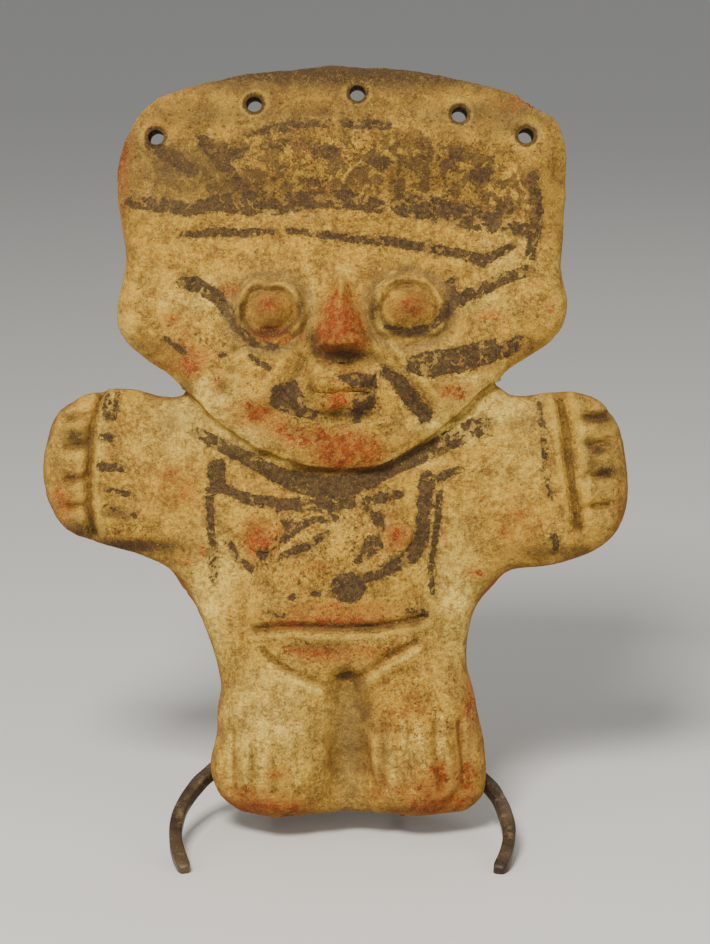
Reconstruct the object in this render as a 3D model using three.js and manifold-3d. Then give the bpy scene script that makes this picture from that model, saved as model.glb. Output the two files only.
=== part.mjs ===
// A press-moulded pottery figure with outstretched arms and a wide pierced headdress,
// leaning on a small folding metal easel. Millimetres, +Z up, the figure faces -Y.
//
// The figure is drawn in its own frame: x to the right as seen from the front, y to its back,
// z up along it, with y = 0 on the seam between its two moulded halves. A group then leans
// that frame back. Left and right in names are as seen from the front.
import * as THREE from "three";
import { mergeVertices } from "three/addons/utils/BufferGeometryUtils.js";
import Module from "manifold-3d";

const wasm = await Module();
wasm.setup();

// ---- Driving dimensions, in millimetres and degrees ----
const figureHeight = 280; // sole to crown, along the figure
const armSpan = 216.5; // hand to hand
const leanAngle = 13; // of the figure and the post, back from upright
const seatHeight = 8; // the figure's lowest edge above the floor

const bodyFront = 10; // front face of the limbs, ahead of the seam
const bodyBack = 9; // back face of the limbs, behind the seam
const bodyEdgeRadius = 8;
const headFront = 15;
const headBack = 4;
const headEdgeRadius = 7;
const crownThinning = 0.74; // thickness of the crown over that of the face
const wall = 7; // clay round the hollow
const slipThickness = 1.4; // the layer that joins the two halves
const laceHoleRadius = 2.9;
const ventRadius = 2.5;
const grooveRadius = 2.2; // pressed lines: belt, loincloth, wrists
const notchRadius = 1.5; // between fingers and toes
const contactGap = 0.3; // kept between pieces that touch

const barSize = 4.8; // square bar of the front legs and the rear leg
const barChamfer = 0.7;
const legClearance = 9; // front legs' bow beyond the wider foot
const legWrap = 23; // how far each bow turns in past its widest point, in degrees
const footSink = 1.4; // bar filed away under each tip, for a flat foot
const postSize = 6;
const postTop = 204;
const postSetback = 0.61; // post centre behind the seam, over the wider foot's reach
const hubWidth = 16;
const hubDepth = 10;
const hubHeight = 14;
const hubLevel = 27; // hub centre, up the figure
const prongRadius = 1.6;
const prongSpacing = 46;
const sleeveWall = 0.8;
const sleeveLength = 11;
const restLevel = 186; // back rest bar, up the figure
const restLength = 90;
const bumperRadius = 7;
const bumperSpacing = 72;
const hingeLevel = 150; // rear leg's pin, up the figure
const pinRadius = 1.6;
const pinPlay = 0.3; // radial
const cheekThickness = 2;
const rearFootReach = 57; // rear foot behind the pin

// ---- Derived frames ----
const radians = THREE.MathUtils.degToRad;
const lean = radians(leanAngle);
const drawnHeight = 280;
const drawnSpan = 216.5;
const stretchX = armSpan / drawnSpan;
const stretchZ = figureHeight / drawnHeight;
const leanMatrix = new THREE.Matrix4().makeRotationX(-lean).setPosition(0, 0, seatHeight);
const standPoint = (x, y, z) => new THREE.Vector3(x, y, z).applyMatrix4(leanMatrix);

// ---- Solids ----
function toSolid(geometry) {
  const bare = geometry.clone();
  bare.deleteAttribute("normal");
  bare.deleteAttribute("uv");
  const merged = mergeVertices(bare, 1e-4);
  return new wasm.Manifold(
    new wasm.Mesh({
      numProp: 3,
      vertProperties: merged.attributes.position.array,
      triVerts: new Uint32Array(merged.index.array),
    }),
  );
}

function toMesh(name, solid, material) {
  const { numProp, vertProperties, triVerts } = solid.getMesh();
  const positions = new Float32Array((vertProperties.length / numProp) * 3);
  for (let i = 0; i < positions.length / 3; i++) {
    positions.set(vertProperties.subarray(i * numProp, i * numProp + 3), i * 3);
  }
  const geometry = new THREE.BufferGeometry();
  geometry.setAttribute("position", new THREE.BufferAttribute(positions, 3));
  geometry.setIndex(new THREE.BufferAttribute(new Uint32Array(triVerts), 1));
  geometry.computeVertexNormals();
  const mesh = new THREE.Mesh(geometry, material.clone());
  mesh.name = name;
  return mesh;
}

const join = (solids) => solids.reduce((whole, piece) => whole.add(piece));

// An ellipsoid given by its centre and half sizes.
function blob([x, y, z], [halfX, halfY, halfZ], grow = 0) {
  const sides = halfX > 20 ? 24 : 16;
  const geometry = new THREE.SphereGeometry(1, sides, sides / 2);
  geometry.scale(halfX + grow, halfY + grow, halfZ + grow);
  return toSolid(geometry.translate(x, y, z));
}

function block(sizeX, sizeY, sizeZ, [x, y, z]) {
  return toSolid(new THREE.BoxGeometry(sizeX, sizeY, sizeZ).translate(x, y, z));
}

function circle(radius, sides) {
  return new THREE.Shape(new THREE.EllipseCurve(0, 0, radius, radius).getPoints(sides).slice(0, -1));
}

// A round pin along y, or along x when it lies across the figure.
function rod(radius, length, [x, y, z], across = false) {
  const geometry = new THREE.CylinderGeometry(radius, radius, length, 16);
  if (across) geometry.rotateZ(Math.PI / 2);
  return toSolid(geometry.translate(x, y, z));
}

// ---- Materials ----
const clay = new THREE.MeshStandardMaterial({ color: 0xb08a4e, roughness: 0.92, metalness: 0 });
const slip = new THREE.MeshStandardMaterial({ color: 0x8f5a33, roughness: 0.95, metalness: 0 });
const redClay = new THREE.MeshStandardMaterial({ color: 0xa2603a, roughness: 0.92, metalness: 0 });
const bronze = new THREE.MeshStandardMaterial({ color: 0x6a5a42, roughness: 0.5, metalness: 0.6 });
const rubber = new THREE.MeshStandardMaterial({ color: 0x1c1a18, roughness: 0.9, metalness: 0 });

// ---- The figure ----
// Outlines seen from the front, as points of a closed smooth curve.
const headPoints = [
  [0, 280], [-30, 278.3], [-58, 272.2], [-74, 264.3], [-81.7, 249], [-84.2, 235], [-82.5, 220],
  [-80.8, 206], [-83.6, 190], [-81.6, 180.5], [-73, 172], [-61, 164], [-48, 149.5], [-34, 139],
  [-16, 131.5], [0, 128.8], [16, 131.5], [31, 139], [46, 149.5], [60, 164], [73, 173.5],
  [80.3, 182], [83, 191.5], [81.8, 205], [82.3, 222], [83.6, 246], [79.8, 260], [68, 268.4],
  [56, 272.6], [30, 277.6],
];
const bodyPoints = [
  [-40, 178], [-57, 172], [-59.3, 162], [-64, 156.6], [-84, 159.4], [-97, 156.2], [-107, 148.6],
  [-111, 133], [-109.6, 121], [-103, 111], [-93, 104.8], [-74, 98.8], [-61, 91.8], [-53.5, 78.5],
  [-48, 64], [-45.2, 46], [-47.5, 30], [-49, 19], [-43.5, 9], [-34, 2.8], [-18, 0], [-7, 1],
  [2, 3.2], [13, 2.2], [28, 1.3], [40, 3], [49.5, 11], [52.5, 25], [50.5, 41], [46.4, 55],
  [48, 74], [54, 87.5], [64, 94.4], [79, 95.8], [95, 101.8], [103.8, 111], [105.5, 122],
  [103.8, 139], [97.5, 152.4], [86, 157.9], [66, 156.3], [59.6, 161], [57, 172], [40, 178],
];

const widerFoot = 52.5 * stretchX; // its outer edge, from the figure's middle

function outline(points, steps) {
  const corners = points.map(([x, z]) => new THREE.Vector3(x * stretchX, z * stretchZ, 0));
  const curve = new THREE.CatmullRomCurve3(corners, true, "centripetal");
  const spaced = curve.getSpacedPoints(steps).slice(0, -1);
  return new THREE.Shape(spaced.map((p) => new THREE.Vector2(p.x, p.y)));
}

// A flat slab of an outline from y = -front to y = back, with its edges rounded.
function slab(shape, front, back, edgeRadius, grow) {
  const geometry = new THREE.ExtrudeGeometry(shape, {
    depth: front + back - 2 * edgeRadius,
    bevelThickness: edgeRadius + grow,
    bevelSize: edgeRadius,
    bevelOffset: grow - edgeRadius,
    bevelSegments: 3,
    steps: 1,
  });
  geometry.rotateX(Math.PI / 2);
  return geometry.translate(0, back - edgeRadius, 0);
}

// The headdress thins upwards from the eyes to the crown.
function thinToCrown(geometry) {
  const from = 190 * stretchZ;
  const position = geometry.attributes.position;
  for (let i = 0; i < position.count; i++) {
    const rise = THREE.MathUtils.clamp((position.getZ(i) - from) / (figureHeight - from), 0, 1);
    position.setY(i, position.getY(i) * (1 - (1 - crownThinning) * rise));
  }
  return geometry;
}

const headShape = outline(headPoints, 52);
const bodyShape = outline(bodyPoints, 80);

// Swellings of the figure and of its hollow, each [centre, half sizes].
const at = (x, y, z) => [x * stretchX, y, z * stretchZ];
const swelling = (centre, size) => [at(...centre), at(...size)];
const torso = swelling([0, 0, 76], [44, 20, 64]);
const leftLeg = swelling([-23, -3, 32], [24.5, 16, 40]);
const rightLeg = swelling([27, -3, 32], [24, 16, 39]);
const neck = swelling([0, 2, 146], [50, 12, 42]);
const face = swelling([0, -8, 185], [58, 12, 54]);
const backOfHead = swelling([0, 2, 190], [58, 12, 56]);
const wholeHead = swelling([0, -3, 187], [58, 17, 54]); // face and back of head together

// The soles are flat and lie level when the figure leans.
const soleLevel = 0.6;
const soleFront = -6;
function belowSoles(grow) {
  const size = 2 * armSpan;
  const geometry = new THREE.BoxGeometry(size, size, size).translate(0, 0, -size / 2 - grow);
  geometry.rotateX(lean);
  return toSolid(geometry.translate(0, soleFront, soleLevel));
}

function figureSolid(grow) {
  const slabs = [
    toSolid(slab(bodyShape, bodyFront, bodyBack, bodyEdgeRadius, grow)),
    toSolid(thinToCrown(slab(headShape, headFront, headBack, headEdgeRadius, grow))),
  ];
  const swellings = [torso, leftLeg, rightLeg, neck, face, backOfHead];
  const rounds = swellings.map(([centre, size]) => blob(centre, size, grow));
  return join([...slabs, ...rounds]).subtract(belowSoles(grow));
}

function hollowSolid() {
  return join([torso, neck, wholeHead].map(([centre, size]) => blob(centre, size, -wall)));
}

// Lace holes along the top of the headdress, [x, z].
const laceHoles = [[-69.8, 253.3], [-33.1, 265.8], [5.6, 270], [43.8, 261.8], [68.7, 253.8]];
const throughLength = 80;
function laceHoleSolids() {
  return laceHoles.map(([x, z]) => rod(laceHoleRadius, throughLength, at(x, 0, z)));
}

// The foremost y of a swelling at a point seen from the front.
function skinAt([centre, size], x, z) {
  const across = (x * stretchX - centre[0]) / size[0];
  const along = (z * stretchZ - centre[2]) / size[2];
  return centre[1] - size[1] * Math.sqrt(1 - across ** 2 - along ** 2);
}

// Lines pressed in the front while the clay was wet, from points [x, y, z].
function pressedLine(points, radius) {
  const path = new THREE.CatmullRomCurve3(points.map((p) => new THREE.Vector3(...at(...p))));
  return toSolid(new THREE.ExtrudeGeometry(circle(radius, 6), { steps: 8, extrudePath: path }));
}

const onTorso = ([x, z]) => [x, skinAt(torso, x, z), z];
const onArm = ([x, z]) => [x, -bodyFront, z];
function pressedLines() {
  const lines = [
    [[-30, 69.5], [-13, 68.4], [7, 69.4], [27, 72]].map(onTorso),
    [[-28, 62.6], [-17, 56], [-6, 49]].map(onTorso),
    [[27, 66.5], [16, 58.7], [5.4, 51]].map(onTorso),
    [[-90.5, 158], [-94.6, 136], [-94, 105]].map(onArm),
    [[81.5, 158], [86.5, 133], [90, 99]].map(onArm),
  ];
  return lines.map((points) => pressedLine(points, grooveRadius));
}

// Notches that part the fingers on each hand and the toes on each foot.
const fingerLevels = [148.5, 137.8, 125.8, 115.4];
const toeSpots = [-37, -27, -17, 19, 29, 39];
function notches() {
  const geometry = () => new THREE.CylinderGeometry(notchRadius, notchRadius, 16, 6);
  const fingers = fingerLevels.flatMap((z) => [
    toSolid(geometry().rotateZ(Math.PI / 2).translate(...at(-104, -bodyFront, z))),
    toSolid(geometry().rotateZ(Math.PI / 2).translate(...at(98.5, -bodyFront, z))),
  ]);
  const toes = toeSpots.map((x) => {
    const leg = x < 0 ? leftLeg : rightLeg;
    const upright = geometry().rotateX(Math.PI / 2 + 0.2);
    return toSolid(upright.translate(...at(x, skinAt(leg, x, 20), 20)));
  });
  return [...fingers, ...toes];
}

const outerSkin = figureSolid(0).subtract(join([...pressedLines(), ...notches()]));
const seatedSkin = figureSolid(contactGap);
const hollow = hollowSolid();
const laceCut = join(laceHoleSolids());
const spread = 2 * (armSpan + figureHeight);
const halfSlip = slipThickness / 2;
const inFront = block(spread, spread, spread, [0, -spread / 2 - halfSlip - contactGap, 0]);
const behind = block(spread, spread, spread, [0, spread / 2 + halfSlip + contactGap, 0]);
const between = block(spread, slipThickness, spread, [0, 0, 0]);
const ventHole = rod(ventRadius, bodyBack * 2, at(0, bodyBack, 96));

const pottery = outerSkin.subtract(hollow).subtract(laceCut);
const figure = new THREE.Group();
figure.add(toMesh("front_shell", pottery.intersect(inFront), clay));
figure.add(toMesh("back_shell", pottery.intersect(behind).subtract(ventHole), clay));
figure.add(toMesh("seam_slip", pottery.intersect(between), slip));

// Clay laid on the face and chest: each piece is trimmed to seat on the skin below it.
function applied(name, solid, material) {
  figure.add(toMesh(name, solid.subtract(seatedSkin), material));
}

// A ridge that widens downwards and turns under at the nostrils.
function noseSolid() {
  const bridge = 25 * stretchZ;
  const base = 11.4;
  const profile = [
    [0, 0], [base * 0.75, 0.4], [base, 3.5],
    [base * 0.72, bridge * 0.5], [base * 0.34, bridge * 0.88], [0, bridge],
  ].map(([radius, height]) => new THREE.Vector2(radius, height));
  const geometry = new THREE.LatheGeometry(profile, 20);
  geometry.rotateX(Math.PI / 2);
  return toSolid(geometry.translate(...at(-0.7, skinAt(face, 0, 186) + 1.5, 174)));
}

function eyeRingSolid(x, z) {
  const geometry = new THREE.TorusGeometry(10.4, 2.2, 6, 20).rotateX(Math.PI / 2);
  geometry.scale(1.08, 1, 0.98);
  return toSolid(geometry.translate(...at(x, skinAt(face, x, z), z)));
}

const eyes = { left: [-26, 187.2], right: [24.6, 188.2] };
const pelletSize = { left: [7.6, 4, 5.6], right: [7.4, 4, 6.4] };
applied("nose", noseSolid(), redClay);
for (const [side, [x, z]] of Object.entries(eyes)) {
  applied(`${side}_eye_ring`, eyeRingSolid(x, z), clay);
  applied(`${side}_eye_pellet`, blob(at(x, skinAt(face, x, z), z), pelletSize[side]), redClay);
}
applied("upper_lip", blob(at(-0.7, skinAt(face, 0, 161.2), 161.2), [11.5, 4, 2.9]), clay);
applied("lower_lip", blob(at(-0.7, skinAt(face, 0, 154.6), 154.6), [9.5, 4, 2.8]), clay);
applied("left_nipple", blob(at(-28.6, skinAt(torso, -28.6, 103), 103), [6, 3.2, 6]), redClay);
applied("right_nipple", blob(at(19.7, skinAt(torso, 19.7, 104), 104), [6, 3.2, 6]), redClay);

// ---- The easel ----
// A square bar section with its corners eased.
function barSection(size) {
  const edge = size / 2;
  const inner = edge - barChamfer;
  const corners = [
    [inner, edge], [-inner, edge], [-edge, inner], [-edge, -inner],
    [-inner, -edge], [inner, -edge], [edge, -inner], [edge, inner],
  ];
  return new THREE.Shape(corners.map(([x, y]) => new THREE.Vector2(x, y)));
}

// A straight bar along z from its lower end.
function bar(size, length) {
  return new THREE.ExtrudeGeometry(barSection(size), { depth: length, bevelEnabled: false });
}

const floorCut = block(spread, spread, spread, [0, 0, -spread / 2]);
const postCentre = postSetback * widerFoot;
const hubCentre = standPoint(0, postCentre, hubLevel);

function hubSolid(grow) {
  const size = [hubWidth, hubDepth, hubHeight].map((side) => side + 2 * grow);
  return block(...size, [0, postCentre, hubLevel]);
}

// Each front leg is a bow in a plane that rises from its tip to the hub.
const legSpread = widerFoot + legClearance;
const tipCentreHeight = barSize / 2 - footSink;
const wrap = radians(legWrap);
const bowRise = (hubCentre.z - tipCentreHeight) / (legSpread * (1 + Math.sin(wrap)));
const bowPitch = Math.asin(bowRise);
const hubInLeg = hubSolid(contactGap).transform(leanMatrix.toArray());

class Bow extends THREE.Curve {
  getPoint(t, target = new THREE.Vector3()) {
    const angle = -wrap + t * (radians(85) + wrap);
    return target.set(legSpread * Math.cos(angle), legSpread * Math.sin(angle), 0);
  }
}

function frontLegSolid(mirror) {
  const geometry = new THREE.ExtrudeGeometry(barSection(barSize), { steps: 26, extrudePath: new Bow() });
  const toHub = new THREE.Matrix4()
    .makeRotationX(bowPitch)
    .setPosition(0, hubCentre.y - legSpread * Math.cos(bowPitch), hubCentre.z - legSpread * bowRise);
  const leg = toSolid(geometry.applyMatrix4(toHub)).subtract(hubInLeg).subtract(floorCut);
  return mirror ? leg.mirror([1, 0, 0]) : leg;
}

const easel = new THREE.Group();
easel.add(toMesh("left_front_leg", frontLegSolid(true), bronze));
easel.add(toMesh("right_front_leg", frontLegSolid(false), bronze));

// The prongs drop from the hub, spread, and run forward level under the soles.
const soleHeight = standPoint(0, soleFront, soleLevel).z;
const prongLevel = soleHeight - contactGap - sleeveWall - contactGap - prongRadius;
const prongTip = 5; // how far the prongs end behind the seam
const hubFoot = standPoint(0, postCentre, hubLevel - hubHeight / 2);
function prongPath(side) {
  const reach = (side * prongSpacing) / 2;
  const root = side * (hubWidth / 2 - 2 * prongRadius);
  const points = [
    [root, hubFoot.y, hubFoot.z - contactGap],
    [root + (reach - root) * 0.45, hubFoot.y - 0.5, hubFoot.z * 0.72],
    [root + (reach - root) * 0.85, hubFoot.y - 2.6, prongLevel + 2.2],
    [reach, hubFoot.y - 8, prongLevel],
    [reach, prongTip + sleeveLength + 1, prongLevel],
    [reach, prongTip + sleeveLength / 2, prongLevel],
    [reach, prongTip, prongLevel],
  ];
  return new THREE.CatmullRomCurve3(points.map((p) => new THREE.Vector3(...p)));
}

function sleeveSolid(side) {
  const bore = prongRadius + contactGap;
  const length = sleeveLength;
  const outside = rod(bore + sleeveWall, length, [0, 0, 0]);
  const centre = [(side * prongSpacing) / 2, prongTip + length / 2 + 0.4, prongLevel];
  return outside.subtract(rod(bore, length * 2, [0, 0, 0])).translate(centre);
}

for (const [name, side] of [["left", -1], ["right", 1]]) {
  const options = { steps: 20, extrudePath: prongPath(side) };
  const prong = toSolid(new THREE.ExtrudeGeometry(circle(prongRadius, 8), options));
  easel.add(toMesh(`${name}_ledge_prong`, prong.subtract(hubInLeg), bronze));
  easel.add(toMesh(`${name}_prong_sleeve`, sleeveSolid(side), rubber));
}

// Everything on the post leans with the figure.
const leaning = new THREE.Group();
leaning.add(toMesh("hub_block", hubSolid(0), bronze));

const postFoot = hubLevel + hubHeight / 2 + contactGap;
const post = bar(postSize, postTop - postFoot).translate(0, postCentre, postFoot);
leaning.add(toMesh("upright_post", toSolid(post), bronze));

const postFrontFace = postCentre - postSize / 2;
const restCentre = postFrontFace - contactGap - barSize / 2;
const restBar = bar(barSize, restLength).translate(0, 0, -restLength / 2).rotateY(Math.PI / 2);
leaning.add(toMesh("back_rest_bar", toSolid(restBar.translate(0, restCentre, restLevel)), bronze));

const restFrontFace = restCentre - barSize / 2;
for (const [name, side] of [["left", -1], ["right", 1]]) {
  const length = restFrontFace - contactGap;
  const centre = [(side * bumperSpacing) / 2, length / 2, restLevel];
  const bumper = rod(bumperRadius, length, centre).subtract(seatedSkin).intersect(behind);
  leaning.add(toMesh(`${name}_back_bumper`, bumper, rubber));
}

// The rear leg's hinge: a bent plate with two cheeks, riveted through by the pin.
const postBackFace = postCentre + postSize / 2;
const cheekInside = barSize / 2 + contactGap;
const hingeOffset = 6; // pin behind the post's back face
const pinCentreY = postBackFace + contactGap + hingeOffset;
const bracketHeight = 14;
const cheekDepth = hingeOffset + 3.5;
const webThickness = 1.2;
const pinCentre = standPoint(0, pinCentreY, hingeLevel);
const rearSlope = Math.atan2(rearFootReach, pinCentre.z); // open leg, from upright

// The leg ends just above the pin, where its corner rests on the bracket when it is open.
const openAngle = rearSlope + lean;
const heelReach = hingeOffset - webThickness - contactGap - (barSize / 2) * Math.cos(openAngle);
const heelLength = heelReach / Math.sin(openAngle);

function bracketSolid() {
  const width = 2 * (cheekInside + cheekThickness);
  const webBack = postBackFace + contactGap;
  const plates = [-1, 1].map((side) =>
    block(cheekThickness, cheekDepth, bracketHeight, [
      side * (cheekInside + cheekThickness / 2),
      webBack + cheekDepth / 2,
      hingeLevel,
    ]),
  );
  const web = block(width, webThickness, bracketHeight, [0, webBack + webThickness / 2, hingeLevel]);
  const bore = rod(pinRadius + pinPlay, 2 * width, [0, pinCentreY, hingeLevel], true);
  return join([web, ...plates]).subtract(bore);
}

function pinSolid() {
  const headRadius = pinRadius + 1.1;
  const headThickness = 1.2;
  const grip = 2 * (cheekInside + cheekThickness + contactGap);
  const shank = rod(pinRadius, grip + headThickness, [0, pinCentreY, hingeLevel], true);
  const heads = [-1, 1].map((side) =>
    rod(headRadius, headThickness, [(side * (grip + headThickness)) / 2, pinCentreY, hingeLevel], true),
  );
  return join([shank, ...heads]);
}

leaning.add(toMesh("hinge_bracket", bracketSolid(), bronze));
leaning.add(toMesh("hinge_pin", pinSolid(), bronze));
for (const group of [figure, leaning]) {
  group.rotation.x = -lean;
  group.position.z = seatHeight;
}

// The rear leg runs from the pin down to the floor behind.
function rearLegSolid() {
  const length = Math.hypot(rearFootReach, pinCentre.z) + barSize;
  const geometry = bar(barSize, length + heelLength).translate(0, 0, -length).rotateX(rearSlope);
  const leg = toSolid(geometry.translate(pinCentre.x, pinCentre.y, pinCentre.z));
  const bore = rod(pinRadius + pinPlay, 4 * barSize, [0, pinCentre.y, pinCentre.z], true);
  return leg.subtract(bore).subtract(floorCut);
}
easel.add(toMesh("rear_leg", rearLegSolid(), bronze));

// ---- The whole object stands on the origin, centred on its own footprint ----
const whole = new THREE.Group();
whole.add(figure, leaning, easel);
whole.updateMatrixWorld(true);
const box = new THREE.Box3().setFromObject(whole);
const middle = box.getCenter(new THREE.Vector3());
const object = new THREE.Group();
whole.position.set(-middle.x, -middle.y, -box.min.z);
object.add(whole);

export default object;
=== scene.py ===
import math

import bmesh
import bpy
import numpy as np
from mathutils import Matrix, Vector
from mathutils.bvhtree import BVHTree


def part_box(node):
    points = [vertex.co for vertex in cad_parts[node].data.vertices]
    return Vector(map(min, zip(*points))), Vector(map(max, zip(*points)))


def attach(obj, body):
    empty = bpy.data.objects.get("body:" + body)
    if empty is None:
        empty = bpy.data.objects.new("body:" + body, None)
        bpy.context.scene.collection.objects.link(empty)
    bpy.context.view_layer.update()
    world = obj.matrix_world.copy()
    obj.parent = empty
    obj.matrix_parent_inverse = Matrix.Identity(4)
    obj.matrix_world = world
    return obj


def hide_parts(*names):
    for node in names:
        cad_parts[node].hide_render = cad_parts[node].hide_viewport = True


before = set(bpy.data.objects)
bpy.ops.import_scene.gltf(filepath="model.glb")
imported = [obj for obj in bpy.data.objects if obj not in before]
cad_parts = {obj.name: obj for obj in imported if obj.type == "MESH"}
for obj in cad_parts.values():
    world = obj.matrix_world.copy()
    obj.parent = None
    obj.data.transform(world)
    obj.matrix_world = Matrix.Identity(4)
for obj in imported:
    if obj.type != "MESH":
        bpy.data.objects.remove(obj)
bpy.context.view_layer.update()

# The figure is modelled in millimetres in its own upright frame, y = 0 on the seam between
# its halves, and then leaned back into place by this matrix.
leanAngle = math.radians(13)
pinInFigure = Vector((0, 41.325, 150))
pinLow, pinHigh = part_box("hinge_pin")
pinCentre = (pinLow + pinHigh) / 2
uprightTurn = Matrix.Rotation(leanAngle, 4, "X")
figureToRow = (
    Matrix.Translation(pinCentre)
    @ uprightTurn.inverted()
    @ Matrix.Scale(0.001, 4)
    @ Matrix.Translation(-pinInFigure)
)
# Millimetres in an upright frame whose origin is on the floor, seatHeight below the figure's.
seatHeight = 8
seat = Vector((0, 0, seatHeight / 1000))
standToRow = Matrix.Translation(figureToRow @ Vector() - seat) @ Matrix.Scale(0.001, 4)


def meshFrom(bm, name):
    mesh = bpy.data.meshes.new(name)
    bm.to_mesh(mesh)
    bm.free()
    return mesh


def makeObject(name, mesh):
    made = bpy.data.objects.new(name, mesh)
    bpy.context.scene.collection.objects.link(made)
    return made


def baked(mesh, kind, **settings):
    # the mesh after one modifier
    holder = makeObject("holder", mesh)
    modifier = holder.modifiers.new(kind.lower(), kind)
    for key, value in settings.items():
        setattr(modifier, key, value)
    graph = bpy.context.evaluated_depsgraph_get()
    result = bpy.data.meshes.new_from_object(holder.evaluated_get(graph))
    bpy.data.objects.remove(holder)
    return result


def carved(mesh, cutter, operation):
    # the mesh after a boolean with another mesh
    tool = makeObject("tool", cutter)
    result = baked(mesh, "BOOLEAN", solver="MANIFOLD", operation=operation, object=tool)
    bpy.data.objects.remove(tool)
    return result


def corners(mesh):
    found = np.empty(len(mesh.vertices) * 3)
    mesh.vertices.foreach_get("co", found)
    return found.reshape(-1, 3)


def facing(mesh):
    found = np.empty(len(mesh.vertices) * 3)
    mesh.vertex_normals.foreach_get("vector", found)
    return found.reshape(-1, 3)


def setCorners(mesh, places):
    mesh.vertices.foreach_set("co", np.ascontiguousarray(places, np.float32).ravel())
    mesh.update()


def smoothed(mesh, rounds, factor=0.5):
    bm = bmesh.new()
    bm.from_mesh(mesh)
    for _ in range(rounds):
        bmesh.ops.smooth_vert(
            bm, verts=bm.verts, factor=factor, use_axis_x=True, use_axis_y=True, use_axis_z=True
        )
    bm.to_mesh(mesh)
    bm.free()
    return mesh


def smoothLoop(points, steps):
    # more points on a closed curve through these
    given = np.array(points, float)
    found = []
    for i in range(len(given)):
        a, b, c, d = (given[(i + k) % len(given)] for k in (-1, 0, 1, 2))
        for t in np.arange(steps) / steps:
            bend = (2 * a - 5 * b + 4 * c - d) * t * t + (3 * b - a - 3 * c + d) * t**3
            found.append((2 * b + (c - a) * t + bend) / 2)
    return found


def ramp(value, low, high):
    # 0 below low, 1 above high, smooth between
    t = np.clip((value - low) / (high - low), 0, 1)
    return t * t * (3 - 2 * t)


def unevenness(places, wavelength, seed, waves=20):
    # a smooth random field with a spread of about one
    draw = np.random.default_rng(seed)
    total = np.zeros(len(places))
    for _ in range(waves):
        direction = draw.normal(size=3)
        direction /= np.linalg.norm(direction)
        turns = 2 * math.pi / (wavelength * draw.uniform(0.7, 1.6))
        total += np.sin(places @ direction * turns + draw.uniform(0, 2 * math.pi))
    return total / math.sqrt(waves / 2)


def lineDistance(x, z, path):
    # distance to a line of points (x, z) or (x, z, half width), less its half width
    nearest = np.full(len(x), 1e9)
    for a, b in zip(path[:-1], path[1:]):
        run = np.array(b[:2], float) - np.array(a[:2], float)
        t = np.clip(((x - a[0]) * run[0] + (z - a[1]) * run[1]) / (run @ run), 0, 1)
        away = np.hypot(x - a[0] - t * run[0], z - a[1] - t * run[1])
        if len(a) > 2:
            away = away - (a[2] + t * (b[2] - a[2]))
        nearest = np.minimum(nearest, away)
    return nearest


def areaDistance(x, z, outline):
    # signed distance to a closed outline, negative inside
    away = lineDistance(x, z, [*outline, outline[0]])
    inside = np.zeros(len(x), bool)
    for (ax, az), (bx, bz) in zip(outline, [*outline[1:], outline[0]]):
        crosses = (az > z) != (bz > z)
        inside ^= crosses & (x < (bx - ax) * (z - az) / (bz - az + 1e-9) + ax)
    return np.where(inside, -away, away)


def spotDistance(x, z, spot):
    # signed distance to an oval (x, z, half width, half height), about right near its edge
    cx, cz, a, b = spot
    return (np.hypot((x - cx) / a, (z - cz) / b) - 1) * min(a, b)


figure = {
    "voxel": 0.9,
    "front": 10,
    "back": 9,
    "edge": 8,
    "headFront": 13.4,
    "headBack": 4,
    "headEdge": 7,
    "crownThinning": 0.26,
    "slip": 1.4,
    "laceHole": 2.9,
    "vent": 2.5,
    "faceStep": 2.5,
    "smoothing": 14,
    "crotchDepth": 4.6,
    "crotchWidth": 6.8,
    "jawScoop": 1.1,
    "laceDish": 2.3,
    "joinEdge": 0.45,
    "joinLump": 2,
    "slowUneven": 0.42,
    "quickUneven": 0.18,
    "streaks": 0.07,
    "dents": 0.35,
    "headNarrower": 0.018,
    "crownLower": 1.4,
    "chipDepth": 1.8,
}
headOutline = [
    (0, 280), (-30, 278.3), (-58, 272.2), (-74, 264.3), (-81.7, 249), (-84.2, 235), (-82.5, 220),
    (-80.8, 206), (-83.6, 190), (-81.6, 180.5), (-73, 172), (-61, 164), (-48, 149.5), (-34, 139),
    (-16, 131.5), (0, 128.8), (16, 131.7), (30.5, 140.6), (44, 152.6), (57, 166), (72, 174.5), (80.3, 182),
    (83, 191.5), (81.8, 205), (82.3, 222), (83.6, 246), (79.8, 260), (68, 268.4), (56, 272.6), (30, 277.6),
]
bodyOutline = [
    (-38, 178), (-55, 172), (-57.4, 162), (-64, 156.6), (-84, 159.4), (-98, 156.4), (-108.6, 148.6),
    (-112.8, 133), (-111.6, 119.5), (-105.6, 108), (-94, 102), (-75, 96.4), (-62.4, 89.4), (-54.8, 77),
    (-49, 63), (-45.4, 46), (-47.5, 30), (-50, 18), (-45.6, 6.4), (-35, 0.2), (-18, -1.6), (-7, -1.2),
    (2, 0.4), (13, -0.6), (28, -1), (41, -0.4), (52, 7), (53.4, 24), (50.5, 41), (47, 55), (48.4, 72),
    (54.8, 85), (65, 91.6), (80, 93), (96, 98.8), (105, 108.6), (107.2, 121), (105.4, 140), (98.6, 153.8),
    (86, 158.8), (66, 156.9), (57.2, 161.4), (54.6, 172), (38, 178),
]
# Swellings of the figure, each (centre, half sizes).
torso = ((0, 0, 76), (44, 20, 64))
legs = [((-23, -3, 34), (24.5, 16.5, 38)), ((27, -3, 34), (24, 16.5, 37))]
neck = ((0, 2, 146), (50, 12, 42))
face = ((0, -8, 185), (58, 12, 54))
headBack = ((0, 2, 190), (58, 12, 56))
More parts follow.
